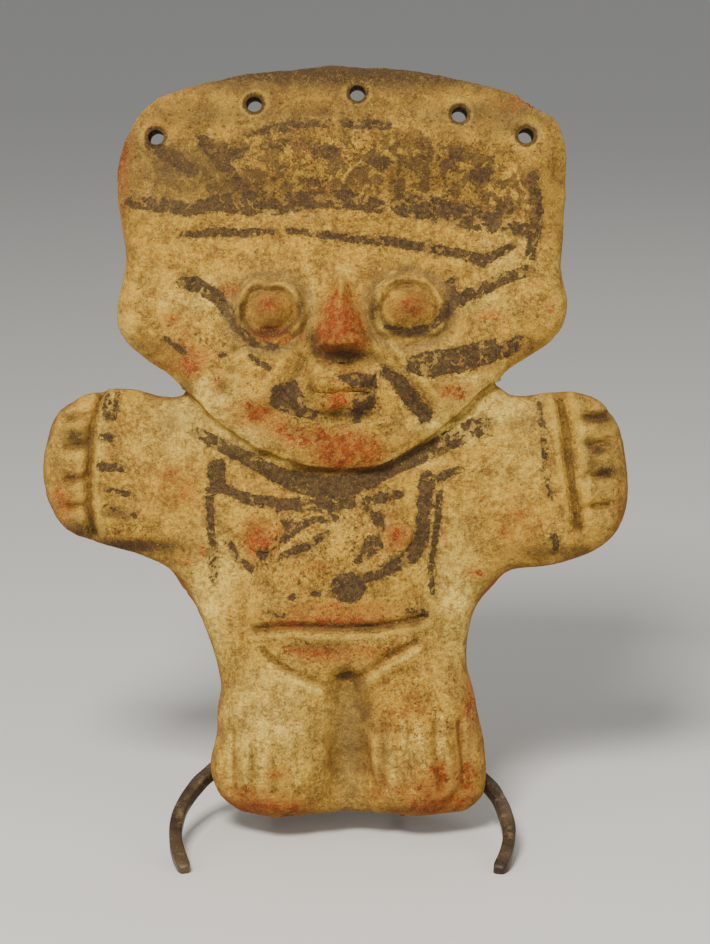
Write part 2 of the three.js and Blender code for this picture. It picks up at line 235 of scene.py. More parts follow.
# Hollows inside, the same way.
hollows = [((0, 1, 86), (36, 11, 44)), ((0, 2, 146), (43, 5, 35)), ((0, -3, 187), (51, 10, 47))]
laceHoles = [(-69.8, 253.3), (-33.1, 265.8), (5.6, 270), (43.8, 261.8), (68.7, 253.8)]
ventHole = (0, 96)


def addSlab(bm, outline, front, back, edge):
    ring = [bm.verts.new((x, -front, z)) for x, z in smoothLoop(outline, 4)]
    sheet = bm.faces.new(ring)
    grown = bmesh.ops.extrude_face_region(bm, geom=[sheet])["geom"]
    far = [g for g in grown if isinstance(g, bmesh.types.BMVert)]
    farFace = [g for g in grown if isinstance(g, bmesh.types.BMFace)][0]
    bmesh.ops.translate(bm, vec=(0, front + back, 0), verts=far)
    rims = [*sheet.edges, *farFace.edges]
    bmesh.ops.bevel(
        bm, geom=rims, offset=edge, segments=6, profile=0.5, affect="EDGES", material=-1,
        clamp_overlap=False,
    )


def addRound(bm, centre, size, detail=48):
    place = Matrix.Translation(centre) @ Matrix.Diagonal((*size, 1))
    bmesh.ops.create_uvsphere(bm, u_segments=detail, v_segments=detail // 2, radius=1, matrix=place)


def addPin(bm, x, z, radius, low=-60, high=60):
    place = Matrix.Translation((x, (low + high) / 2, z)) @ Matrix.Rotation(math.pi / 2, 4, "X")
    bmesh.ops.create_cone(
        bm, cap_ends=True, segments=40, radius1=radius, radius2=radius, depth=high - low, matrix=place
    )


def blockMesh(low, high):
    bm = bmesh.new()
    size = Vector(high) - Vector(low)
    middle = (Vector(high) + Vector(low)) / 2
    bmesh.ops.create_cube(bm, size=1, matrix=Matrix.Translation(middle) @ Matrix.Diagonal((*size, 1)))
    return meshFrom(bm, "block")


# Pressed and raised lines of the front: (path, half width, height), negative heights are grooves.
jawLine = [
    (-76, 171), (-61, 161.5), (-48, 147.5), (-34, 137.6), (-16, 130.4), (0, 127.6), (16, 130.4),
    (30.5, 139.2), (44, 151), (57, 163.6), (76, 174),
]
facePlate = [*jawLine, (120, 190), (120, 320), (-120, 320), (-120, 190)]
pressed = [
    ([(-33, 69.4), (-18, 70.8), (1, 69.8), (13, 70.8), (31, 74)], 1.5, -2.1),
    ([(-34, 66.4), (-18, 67.8), (1, 66.8), (13, 67.8), (32, 71)], 1.4, 0.8),
    ([(-29.5, 61), (-24, 56.4), (-16, 52.3), (-6.5, 48.3)], 1.5, -1.6),
    ([(-27, 56.2), (-18, 50.4), (-8, 45.8)], 1.2, 0.7),
    ([(27.5, 65), (16, 59), (7.2, 52.2)], 1.6, -1.7),
    ([(29, 62), (18, 56), (9, 49.5)], 1.2, 0.6),
    ([(-90.5, 158), (-93.8, 146), (-94.6, 135), (-95.2, 121), (-93.5, 104)], 1.4, -2.2),
    ([(-87.4, 158), (-90.4, 146), (-91.2, 135), (-91.8, 121), (-90, 104)], 1.5, 0.8),
    ([(-97.8, 156), (-98.6, 135), (-98, 110)], 1.6, 0.5),
    ([(81.5, 156), (84, 141), (85.6, 126), (87.6, 113), (88.4, 108)], 2.1, -3),
    ([(86.2, 156), (89, 141), (90.6, 126), (92.4, 112)], 1.6, 1),
    ([(78.6, 154), (80.8, 138), (82, 122)], 1.5, 0.5),
    ([(-11, 175), (-15, 168), (-20, 160), (-26, 151)], 2.6, -1.7),
    ([(10, 175), (15, 168), (22, 159), (31, 148)], 2.9, -2.2),
    ([(14, 186), (19, 175), (27, 164.6), (37, 154)], 2.4, 1.7),
    ([(-15, 186), (-19, 175), (-25, 165), (-32, 156)], 2.4, 1.1),
    ([(-46, 200), (-27, 204.6), (-9, 203)], 4.5, 1.2),
    ([(9, 203), (27, 205.6), (46, 201)], 4.5, 1.2),
    ([(-76, 222), (-40, 223), (0, 222), (40, 219), (74, 212)], 5, 1),
    ([(-79, 242), (-77, 222), (-73, 205), (-76, 190)], 3, -0.8),
    ([(79, 240), (77, 222), (73, 205), (76, 192)], 3, -0.9),
    ([(-72, 262), (-50, 269.6), (-20, 274.4), (8, 275.4), (40, 271.6), (64, 265.6)], 1.6, -0.5),
]
for level in (148.6, 138, 125.8, 115.6):
    pressed.append(([(-103.4, level - 0.6), (-96.4, level + 0.4)], 1.4, -2))
    pressed.append(([(-103.4, level - 4.8), (-98, level - 4.6)], 2.6, 0.8))
for level in (149, 138.4, 126.2, 115):
    pressed.append(([(90.4, level - 0.4), (99.6, level + 0.8)], 1.5, -2.1))
    pressed.append(([(92, level - 5.4), (100, level - 5)], 2.8, 0.8))
for toe, depth in ((-41, 1.2), (-33, 1.3), (-25, 1.6), (-16.5, 1.2)):
    pressed.append(([(toe, 31), (toe - 0.6, 20), (toe, 10)], 1.4, -depth))
for toe, depth in ((15, 1.5), (24.5, 1.8), (35, 1.9), (44.5, 1.6)):
    pressed.append(([(toe - 1, 35), (toe, 23), (toe + 1, 11)], 1.5, -depth))
# Soft mounds and hollows of the front: (x, z, half width, half height, height).
mounds = [
    (-79, 187, 6.5, 11, 1.8), (78, 188, 6.5, 11, 1.8), (-42, 162, 17, 13, 2.4), (43, 163, 17, 13, 2.4),
    (-0.7, 157.5, 16, 10.5, 3.2), (-27, 187.5, 15.5, 14.5, -2.1), (25, 188.5, 16, 14.5, -1.9),
    (0, 137, 17, 7, 2.2), (-26, 106, 20, 14, 1.2), (22, 107, 20, 14, 1.2), (0, 62, 26, 8, 0.9),
    (-60, 250, 20, 14, 0.8), (50, 244, 24, 14, 1), (-75, 130, 20, 20, 1.2), (72, 128, 20, 22, 1.2),
    (-27, 14, 17, 14, 1.6), (30, 16, 18, 15, 1.8), (-26, 9, 19, 9, 1.6), (31, 9, 19, 10, 1.8),
]
crotch = [(1.6, 48), (2.4, 30), (3.2, 4)]
chipOutline = [(64, 276), (66.5, 268), (71, 264.5), (79, 261), (84, 276)]


def figureSkin():
    # the whole outer skin as one closed mesh
    bm = bmesh.new()
    addSlab(bm, bodyOutline, figure["front"], figure["back"], figure["edge"])
    addSlab(bm, headOutline, figure["headFront"], figure["headBack"], figure["headEdge"])
    for swelling in (torso, *legs, neck, face, headBack):
        addRound(bm, *swelling)
    bmesh.ops.recalc_face_normals(bm, faces=bm.faces)
    bmesh.ops.triangulate(bm, faces=bm.faces)
    skin = baked(meshFrom(bm, "skin"), "REMESH", mode="VOXEL", voxel_size=figure["voxel"])
    skin = smoothed(skin, figure["smoothing"])
    places = corners(skin)
    normals = facing(skin)
    x, y, z = places.T
    front = ramp(-normals[:, 1], -0.15, 0.35)
    lift = np.zeros(len(places))
    for path, width, height in pressed:
        lift += height * np.exp(-((lineDistance(x, z, path) / width) ** 2)) * front
    for cx, cz, a, b, height in mounds:
        lift += height * np.exp(-(((x - cx) / a) ** 2) - ((z - cz) / b) ** 2) * front
    channel = lineDistance(x, z, crotch)
    cleft = np.exp(-((np.maximum(channel, 0) / figure["crotchWidth"]) ** 4))
    lift -= figure["crotchDepth"] * cleft * ramp(z, -2, 22) * front
    # the face stands proud of the neck, which is scooped out below the jaw
    inFace = -areaDistance(x, z, facePlate)
    lift += figure["faceStep"] * ramp(inFace, -0.7, 1.9) * front
    lift -= figure["jawScoop"] * np.exp(-(((inFace + 2) / 2.2) ** 2)) * front * ramp(77 - np.abs(x), 0, 12)
    for hx, hz in laceHoles:
        reach = np.hypot(x - hx, z - hz - 0.6)
        lift -= figure["laceDish"] * (1 - ramp(reach, 2.2, 4.9)) * np.abs(normals[:, 1])
    # the edge of the mould's join, proud at the armpits
    side = 1 - np.abs(normals[:, 1])
    lift -= figure["joinEdge"] * np.exp(-((y / 0.9) ** 2)) * side
    for ax, az in ((-58, 87), (54.5, 87)):
        near = np.exp(-(((x - ax) / 7) ** 2) - ((z - az) / 9) ** 2)
        lift += figure["joinLump"] * near * ramp(y, -0.6, 0.6) * (1 - ramp(y, 3, 7)) * side
    # handwork: slow unevenness, wiped streaks and small dents
    slow = figure["slowUneven"] * unevenness(places, 34, 3)
    quick = figure["quickUneven"] * unevenness(places, 11, 4)
    lift += (slow + quick) * (1 - 0.5 * side)
    lift += figure["streaks"] * unevenness(places * (1, 1, 2.2), 3.4, 5) * (1 - 0.5 * side)
    lift -= figure["dents"] * ramp(unevenness(places, 5.2, 8), 1.5, 2.6)
    places = places + normals * lift[:, None]
    places[:, 0] *= 1 - figure["headNarrower"] * ramp(places[:, 2], 160, 186)
    places[:, 2] -= figure["crownLower"] * ramp(places[:, 2], 258, 276)
    rise = ramp(places[:, 2], 186, 280)
    places[:, 1] *= 1 - figure["crownThinning"] * rise
    # a chip out of the crown, with a rough bottom
    chip = areaDistance(places[:, 0], places[:, 2], chipOutline)
    bite = ramp(-chip, 0, 1.2) * (1 + 0.35 * unevenness(places, 2.6, 12))
    places[:, 2] -= figure["chipDepth"] * bite
    # soles rubbed flat, level when the figure leans
    sole = -(places[:, 1] + 6) * math.sin(leanAngle) + (places[:, 2] - 0.6) * math.cos(leanAngle)
    sunk = np.minimum(sole, 0)
    places[:, 1] += sunk * math.sin(leanAngle)
    places[:, 2] -= sunk * math.cos(leanAngle)
    setCorners(skin, places)
    return skin


def hollowMesh():
    bm = bmesh.new()
    for hollow in hollows:
        addRound(bm, *hollow)
    return smoothed(baked(meshFrom(bm, "hollow"), "REMESH", mode="VOXEL", voxel_size=2.5), 4)


def pinsMesh(spots, radius, low=-60, high=60):
    bm = bmesh.new()
    for x, z in spots:
        addPin(bm, x, z, radius, low, high)
    return meshFrom(bm, "pins")


print("shaping the figure")
skin = figureSkin()
skinTree = BVHTree.FromPolygons(
    [tuple(p) for p in corners(skin)], [tuple(f.vertices) for f in skin.polygons]
)
emptied = carved(skin.copy(), hollowMesh(), "DIFFERENCE")
emptied = carved(emptied, pinsMesh(laceHoles, figure["laceHole"]), "DIFFERENCE")
half = figure["slip"] / 2
frontMesh = carved(emptied.copy(), blockMesh((-200, -half, -50), (200, 90, 330)), "DIFFERENCE")
backMesh = carved(emptied.copy(), blockMesh((-200, -90, -50), (200, half, 330)), "DIFFERENCE")
backMesh = carved(backMesh, pinsMesh([ventHole], figure["vent"], 0, 60), "DIFFERENCE")
slipMesh = carved(emptied, blockMesh((-200, -half, -50), (200, half, 330)), "INTERSECT")
for label, mesh in (("skin", skin), ("front", frontMesh), ("back", backMesh), ("slip", slipMesh)):
    print(label, "corners", len(mesh.vertices))


def loneCorners(bm):
    # corners that no face has, or where two faces meet at that corner only
    return [v for v in bm.verts if not v.link_faces or sum(e.is_boundary for e in v.link_edges) > 2]


# Applied clay: each piece is a patch that rises out of the skin.
def patchMesh(middle, reach, height, step=0.55):
    # height(x, z) is how far the piece stands out of the skin, negative where it ends
    bm = bmesh.new()
    columns, rows = (max(8, int(2 * r / step)) for r in reach)
    place = Matrix.Translation((middle[0], 0, middle[1])) @ Matrix.Rotation(math.pi / 2, 4, "X")
    place = place @ Matrix.Diagonal((reach[0], reach[1], 1, 1))
    bmesh.ops.create_grid(bm, x_segments=columns, y_segments=rows, size=1, matrix=place)
    places = np.array([v.co for v in bm.verts])
    rises = height(places[:, 0], places[:, 2])
    rises += 0.14 * unevenness(places * (1, 0, 1), 3.6, 21) + 0.26 * unevenness(places * (1, 0, 1), 8, 22)
    outside = []
    for vert, rise in zip(bm.verts, rises):
        hit = skinTree.ray_cast(Vector((vert.co.x, -80, vert.co.z)), Vector((0, 1, 0)))[0]
        vert.co.y = (hit.y if hit else 0) - rise
        if rise < -0.9:
            outside.append(vert)
    bmesh.ops.delete(bm, geom=outside, context="VERTS")
    while lone := loneCorners(bm):
        bmesh.ops.delete(bm, geom=lone, context="VERTS")
    grown = bmesh.ops.extrude_face_region(bm, geom=bm.faces[:])["geom"]
    backs = [g for g in grown if isinstance(g, bmesh.types.BMVert)]
    deepest = max(v.co.y for v in bm.verts) + 1.2
    for vert in backs:
        vert.co.y = deepest
    bmesh.ops.recalc_face_normals(bm, faces=bm.faces)
    return meshFrom(bm, "patch")


nose = {
    "x": -0.6,
    "base": 171.4,
    "top": 202.5,
    "width": 15,
    "height": 13,
    "nostrilSpread": 5,
    "nostrilLevel": 173.2,
    "patch": ((-0.6, 185.5), (14, 17)),
}
fineStep = 0.4


def noseHeight(x, z):
    up = np.clip((z - nose["base"]) / (nose["top"] - nose["base"]), 0, 1)
    width = 1.6 + (nose["width"] - 1.6) * (1 - up) ** 1.1
    across = np.abs(x - nose["x"]) / width
    ridge = ramp(up, -0.05, 0.14) * (nose["height"] * (1 - up) ** 0.9 + 1.1)
    inside = ridge * np.clip(1 - across**1.25, 0, 1)
    nostrils = np.zeros(len(x))
    for aside in (-nose["nostrilSpread"], nose["nostrilSpread"]):
        nostrils += np.exp(-(((x - nose["x"] - aside) / 2.4) ** 2) - ((z - nose["nostrilLevel"]) / 1.5) ** 2)
    beyond = np.maximum(np.maximum(across - 1, 0) * width, 0)
    beyond += np.maximum(nose["base"] - z, 0) + np.maximum(z - nose["top"], 0)
    return inside - 2 * nostrils * (across < 1) - 0.4 - 0.6 * beyond


eyes = {
    "left": {
        "middle": (-27.2, 187.2),
        "ring": (11.8, 11.2),
        "rise": 2.7,
        "pellet": (-26.6, 188.2, 8.8, 7.4),
        "bulge": 7,
    },
    "right": {
        "middle": (24.6, 188.2),
        "ring": (13, 11.4),
        "rise": 2.1,
        "pellet": (24.4, 188.4, 10.4, 8.2),
        "bulge": 6.8,
    },
}


def ringDistance(x, z, eye):
    # signed distance to the middle line of an eye's ring, about right near it
    (cx, cz), (a, b) = eye["middle"], eye["ring"]
    return (np.hypot((x - cx) / a, (z - cz) / b) - 1) * (a + b) / 2


def ringHeight(eye):
    cx, cz = eye["middle"]

    def height(x, z):
        turn = np.arctan2(z - cz, x - cx)
        away = ringDistance(x, z, eye) + 0.5 * np.sin(3 * turn + cx) + 0.3 * np.sin(5 * turn)
        rise = eye["rise"] * (1 + 0.22 * np.sin(2 * turn + 1) + 0.16 * np.sin(7 * turn + cx))
        return rise * np.exp(-((away / 1.9) ** 2)) - 0.25 - 0.35 * np.maximum(np.abs(away) - 2.2, 0)

    return height


def domeHeight(spot, bulge, power=1.35):
    def height(x, z):
        away = np.hypot((x - spot[0]) / spot[2], (z - spot[1]) / spot[3])
        return bulge * np.clip(1 - away**2, 0, 1) ** power - 0.25 - 3 * np.maximum(away - 1, 0)

    return height


def lipHeight(spot, bulge):
    # a strip with blunt ends
    def height(x, z):
        along = np.abs(x - spot[0]) / spot[2]
        over = np.abs(z - spot[1] - 0.45 * np.sin(x / 2.6)) / (spot[3] * (1 - 0.16 * np.cos(x / 2.2)))
        lobes = 0.84 + 0.3 * np.cos((x - spot[0]) / 2.7 + spot[1])
        body = lobes * np.clip(1 - along**4, 0, 1) * np.clip(1 - over**2, 0, 1) ** 0.7
        beyond = np.maximum(along - 1, 0) * spot[2] + np.maximum(over - 1, 0) * spot[3]
        return bulge * body - 0.25 - 0.8 * beyond

    return height


# Each spot is (x, z, half width, half height), and each patch (middle, half size).
lips = {
    "upper_lip": {"spot": (-0.6, 160.8, 12.6, 3.6), "rise": 4.8, "patch": ((-0.6, 160.8), (15, 5.5))},
    "lower_lip": {"spot": (0.6, 153.8, 11, 3.5), "rise": 4.7, "patch": ((0.6, 154.2), (13, 5))},
}
nipples = {
    "left_nipple": {"spot": (-29.8, 103.6, 5.8, 5.6), "patch": ((-29.8, 103.6), (8, 8))},
    "right_nipple": {"spot": (20.1, 104.4, 6.3, 6), "patch": ((20.1, 104.4), (8.2, 8.2))},
}
nippleShape = {"bulge": 2.4, "power": 0.4}
appliedMeshes = {"nose": patchMesh(*nose["patch"], noseHeight, 0.5)}
for name, lip in lips.items():
    appliedMeshes[name] = patchMesh(*lip["patch"], lipHeight(lip["spot"], lip["rise"]), fineStep)
for name, nipple in nipples.items():
    appliedMeshes[name] = patchMesh(*nipple["patch"], domeHeight(nipple["spot"], **nippleShape), fineStep)
for side, eye in eyes.items():
    reach = (eye["ring"][0] + 5, eye["ring"][1] + 5)
    appliedMeshes[f"{side}_eye_ring"] = patchMesh(eye["middle"], reach, ringHeight(eye), 0.45)
    x, z, a, b = eye["pellet"]
    dome = domeHeight(eye["pellet"], eye["bulge"])
    appliedMeshes[f"{side}_eye_pellet"] = patchMesh((x, z), (a + 2, b + 2), dome, fineStep)


# Where the paint lies, in the figure's frame. Dark lines: points (x, z, half width).
darkLines = [
    [(-35.6, 254.4, 1.6), (-17.8, 258, 1.8), (-5.9, 258.6, 1.8)],
    [(1.2, 258.6, 1.8), (16.5, 257.6, 1.8)],
    [(-79.4, 228.6, 2), (-66.4, 227.6, 3), (-58, 225.6, 2.4), (-46.2, 228.6, 2.8), (-34.4, 228.4, 5),
     (-22.5, 228, 4.2), (-10.7, 229.4, 3.6), (1.2, 229.6, 3.6), (13, 227, 2.6)],
    [(22.5, 228, 4.4), (32, 226.4, 4.8), (46.2, 223, 4.4), (58, 220.6, 3.4), (67.5, 217.7, 3)],
    [(-72, 250, 2), (-64, 246, 3), (-56, 240, 2)], [(-52, 252, 2), (-46, 244, 2.6), (-40, 238, 2)],
    [(-59.2, 216.5, 1.5), (-46.2, 217.4, 1.7), (-34.4, 217.1, 1.5), (-26, 217.7, 1.2)],
    [(-20.2, 217.7, 1.2), (-4.8, 215.9, 1.5), (7.1, 214.2, 1.6), (18.9, 213.6, 1.7), (32, 211.2, 1.8),
     (46.2, 208.8, 2), (52, 206.7, 2.4), (65.1, 213, 1.4)],
    [(71, 239, 1.8), (72.6, 225.4, 2.4), (70.2, 209, 1.8)],
    [(-59.2, 198.8, 2.2), (-53.3, 197.6, 2.7), (-46.2, 192.8, 2.5), (-41.6, 186.3, 2), (-38.6, 180.4, 1.7),
     (-32.4, 175.4, 1.4), (-24, 174, 1.2)],
    [(37.9, 187.5, 2), (46.2, 193.4, 2.5), (55.6, 198.2, 2.4), (69.8, 203.5, 1.8)],
    [(40.2, 198.4, 1.4), (42.4, 192, 1.8)],
    [(16.5, 181.6, 0.9), (24.8, 179.8, 1.1), (34.3, 182.4, 1.2), (38.4, 187.5, 1.4)],
    [(16.4, 165.6, 2.4), (23.6, 158, 3.2), (30.8, 149, 2.9)],
    [(-54.5, 142.8, 2.2), (-43.9, 137.4, 2.5), (-34.4, 132.4, 2.7), (-24.9, 127.6, 3), (-16.6, 124, 3.8),
     (-6, 122, 4.5), (3.5, 123.2, 4.1), (13, 126.8, 3.1), (24.8, 132.2, 3), (36.7, 138.2, 3.3),
     (47.4, 143.8, 3.8),
     (52.4, 146.4, 3.6)],
    [(-47.2, 129.2, 3.9), (-46.6, 122.6, 2.8)],
    [(-46.2, 122.5, 2), (-40.3, 120.2, 1.9), (-34.4, 117.6, 2.3), (-27.3, 116.6, 2.4), (-17.8, 116, 2.2),
     (-6, 115.4, 2.4), (1.2, 116, 2), (7.1, 117.8, 1.8), (15.4, 118.4, 2), (21, 119.8, 1.6)],
    [(-49.8, 120.8, 1.6), (-49.2, 106.6, 1.4), (-48, 95.9, 2.1), (-48, 87.6, 1.3)],
    [(-22.5, 113.7, 2.2), (-19, 106.6, 2.4), (-22.5, 101.8, 1.2)],
    [(-17.8, 106.6, 1.6), (-10.7, 110.1, 1.5), (-2.4, 111.3, 1.3)],
    [(-22.5, 97.1, 1.4), (-13, 100.6, 1.7), (-6, 105.4, 1.3)],
    [(-42.7, 101.8, 1.4), (-40.3, 97.1, 1.5), (-34.4, 92.3, 1.5)],
    [(9.4, 116, 2.2), (14.2, 110.1, 2.4), (13, 104.2, 1.6)],
    [(11.4, 101.4, 3.6), (5.9, 95.3, 1.4)],
    [(31.9, 125.5, 3), (30.8, 118.4, 2.7), (30.2, 110.1, 2.7), (29.6, 103, 2.8), (26, 97.1, 2.9),
     (18.9, 93.5, 2.6), (13, 90, 2.2), (9.4, 88.8, 1.6)],
    [(31.9, 124.9, 1.4), (37.9, 126.7, 1.7), (43.8, 129.1, 1.4)],
    [(36.7, 120.2, 1.2), (35.5, 110.1, 1.3), (34.3, 100.6, 1.2), (33.1, 92.3, 1.1), (33.7, 82.9, 1)],
    [(73.4, 153.9, 0.9), (75.2, 142.1, 1.1), (75.8, 127.9, 1.1), (78.1, 118.4, 1)],
    [(78.7, 107.7, 1.5), (79.9, 100.6, 1.3)],
    [(-88.2, 157.5, 1), (-88.4, 148, 1.2)],
    [(-84.4, 157.5, 1), (-85, 148.5, 1)],
    [(-90, 141.4, 1.2), (-86.4, 140.6, 1.5)],
    [(-90, 130.4, 1.9), (-82, 129.6, 1.6)],
    [(-87, 121.4, 0.9), (-79.6, 120, 0.9)],
    [(-88, 113.6, 2.2), (-78.4, 112.4, 2)],
    [(-66, 178, 0.9), (-59, 172.6, 1.2)],
    [(-34, 171, 0.8), (-27, 166.6, 1.1)],
    [(24, 76.4, 1), (31, 75.4, 1.4)],
    [(-27, 75.8, 0.9), (-22, 74.6, 1)],
    [(-1.6, 52.8, 1), (3, 52.4, 1.2)],
]
darkAreas = [
    [(23.1, 170.3), (37.9, 173.9), (56.8, 177.4), (58.4, 175.4), (65.1, 179.2), (68.4, 178), (63.9, 172.1),
     (48.5, 166.2), (32, 162.6), (23.6, 165.6)],
    [(-2.6, 163.4), (3, 164.6), (12.4, 164), (13, 158.6), (3.6, 159.2)],
    [(4.4, 156.6), (12.2, 157.6), (12.2, 152), (8, 150.8), (7.4, 146.4), (3.4, 146.6), (3.6, 151)],
    [(-26.1, 159.1), (-17.8, 162.1), (-14.8, 157.9), (-13.1, 152), (-8.3, 150.2), (-10.7, 147.2),
     (-17.8, 149.6), (-22.5, 150.2), (-27.3, 153.2)],
]
darkSpots = [
    (2.4, 85.2, 6.6, 5.6), (-5.9, 247.9, 5, 2.6), (-23.7, 250.3, 4, 2.2), (-41.5, 246.7, 4.5, 2),
    (-45, 171.5, 1.6, 1.3), (-19, 81.7, 2, 1.2), (-10, 83, 1.6, 1.4), (-29.4, 97.4, 2.6, 1.8),
    (42.6, 246.7, 3.6, 2.6), (52, 239, 4.4, 3), (60.4, 227, 3.4, 4), (14, 244, 4, 2),
]
# Red paint: ovals (x, z, half width, half height), and rubbed ones that are only patches of it.
redSpots = [
    (1, 135.6, 12, 6.2), (-12, 140.4, 8, 3), (-1.8, 154.6, 2.6, 2.6), (-25.6, 178.6, 7, 2.6),
    (-31.4, 102.4, 4, 5), (-30, 2.6, 12, 2.6), (37, 4, 13, 3.6), (46, 14, 2.6, 6), (-83.6, 250, 3, 9),
    (72, 267.6, 7, 2.6), (-0.4, 178, 9, 6),
]
redLines = [
    [(-26, 71.8, 0.8), (-6, 72.8, 1.1), (14, 73.2, 0.9)],
    [(-20, 62, 0.8), (-10, 60.6, 1), (-2, 61.4, 0.8)],
]
rubbedRedSpots = [
    (-0.6, 185, 9, 12), (-27, 189.6, 6.2, 5), (26, 188.8, 6.6, 5), (-34.4, 152, 6, 4), (-22, 143.6, 10, 5),
    (-31, 150, 7, 5), (20.1, 104.4, 5.6, 5), (-30, 104.4, 5, 5), (-56, 168.6, 6, 7), (-62.8, 185.6, 4, 4),
    (41, 157.6, 9, 5), (77, 188.7, 3, 3), (-83, 236, 3, 16), (-71.4, 257.4, 5, 3), (30, 12, 9, 4),
    (-64, 127, 3.8, 3.8), (-59, 120, 3.6, 3.6), (66, 112, 4, 3.6), (60, 105, 3.6, 3.2), (-105, 118, 4, 9),
    (24.8, 142.6, 5, 2), (-8.4, 92.4, 7, 4), (-58, 95, 4, 3.8), (103.6, 116, 3.4, 8), (47.6, 40, 4, 14),
    (-24, 16, 6, 4), (-12, 61, 11, 3), (13, 62, 12, 3), (49, 90, 7, 4), (-52, 98, 4, 4), (-24, 116, 4, 2),
    (50, 168, 8, 4), (-36, 9, 9, 4), (36, 16, 6, 8), (-46, 160, 4, 4), (22, 10, 4, 5), (-42, 196, 6, 5),
    (54, 186, 8, 4), (0, 78, 24, 3),
]
# Parts of the front where the slip is paler, with painted light on the neck, under the jaw, on the soles and
# on ridges, or greyer: (x, z, half width, half height, strength).
litAndPaleSpots = [
    (-52, 153, 13, 9, 1.8), (54, 156, 14, 9, 2.2), (-40, 141.2, 10, 4, 1.5), (43, 143.4, 10, 4, 1.8),
    (-24, 131.6, 10, 2.4, 1), (24, 132, 10, 2.4, 1.2), (43, 80, 10, 26, 0.9), (-50, 74, 8, 26, 0.9),
    (-28, 36, 18, 20, 0.9), (66, 134, 18, 16, 0.35), (-70, 140, 14, 12, 0.35), (60, 208, 14, 10, 0.5),
    (10, 110, 30, 14, 0.2), (-50, 192, 20, 8, 0.5), (50, 192, 16, 6, 0.5), (0, 66.5, 30, 1.6, 0.5),
    (-17, 49, 12, 3, 0.6), (-31, 11, 15, 6, 0.3), (34, 12, 15, 6, 0.2), (36, 26, 1.6, 9, 0.9),
    (45.4, 20, 2, 11, 1), (25, 26, 1.6, 8, 0.8), (-42, 24, 2, 10, 0.6), (-26, 18, 1.6, 8, 0.5),
    (-38, 140, 16, 5, 0.9), (36, 146, 14, 5, 0.9), (0, 203, 4, 3, 0.5), (-12, 186, 2.4, 12, 0.7),
    (12.6, 182, 2.4, 12, 0.7),
]
greySpots = [
    (2.4, 27, 7, 25, 1), (0, 280, 100, 10, 1), (-30, 262, 60, 5, 0.5), (50, 262, 40, 6, 0.6),
    (-60, 240, 22, 14, 0.7), (62, 262, 14, 10, 0.6), (-103, 135, 10, 24, 0.4), (97, 132, 9, 24, 0.4),
    (-66, 150, 10, 8, 0.45), (68, 150, 10, 9, 0.45), (-27, 196, 13, 3, 0.7), (25, 198, 13, 3, 0.6),
    (14, 22, 4, 9, 0.6), (0, 70.4, 28, 1.4, 0.7), (-36, 140, 8, 3, 0.5), (-31.5, 181, 12, 3, 0.4),
    (0, 170, 9, 3, 0.2),
]
# Wiped clean, and painted light on the neck and under the jaw: (x, z, half width, half height, strength).
cleanAndLitSpots = [
    (-53, 152, 13, 9, 0.9), (55, 154, 14, 10, 0.9), (-40, 141, 11, 5, 0.9), (43, 146, 13, 7, 0.95),
    (-24, 131.4, 11, 2.8, 0.8), (24, 132, 11, 2.8, 0.8), (2.6, 27, 6, 22, 1),
]
# Where the dark paint has kept best: (x, z, half width, half height, strength).
solidSpots = [
    (0, 130, 56, 12, 0.07), (-46.6, 128, 6, 8, 0.08), (2.4, 85, 10, 8, 0.08), (50, 172, 26, 9, 0.03),
    (24, 156, 12, 14, 0.06), (-18, 155, 12, 9, 0.06), (28, 104, 8, 22, 0.03), (44, 223, 26, 5, 0.02),
    (-52, 192, 14, 14, 0.04), (52, 196, 16, 8, 0.04),
]
# How grimy and speckled the slip is: (x, z, half width, half height, strength).
grimeSpots = [
    (-8, 100, 46, 30, 1), (0, 68, 44, 22, 0.9), (0, 244, 110, 30, 1), (0, 214, 80, 10, 0.65),
    (0, 150, 46, 24, 0.95), (-52, 176, 24, 16, 0.75), (-26, 30, 24, 22, 0.55), (30, 36, 24, 26, 0.85),
    (-102, 130, 12, 28, 0.7), (97, 132, 12, 28, 0.7), (-82, 104, 22, 7, 0.9), (80, 102, 22, 7, 0.6),
    (70, 190, 16, 20, 0.6), (45, 166, 24, 10, 0.6), (-42, 156, 20, 14, 0.9), (0, 200, 60, 14, 0.5),
]
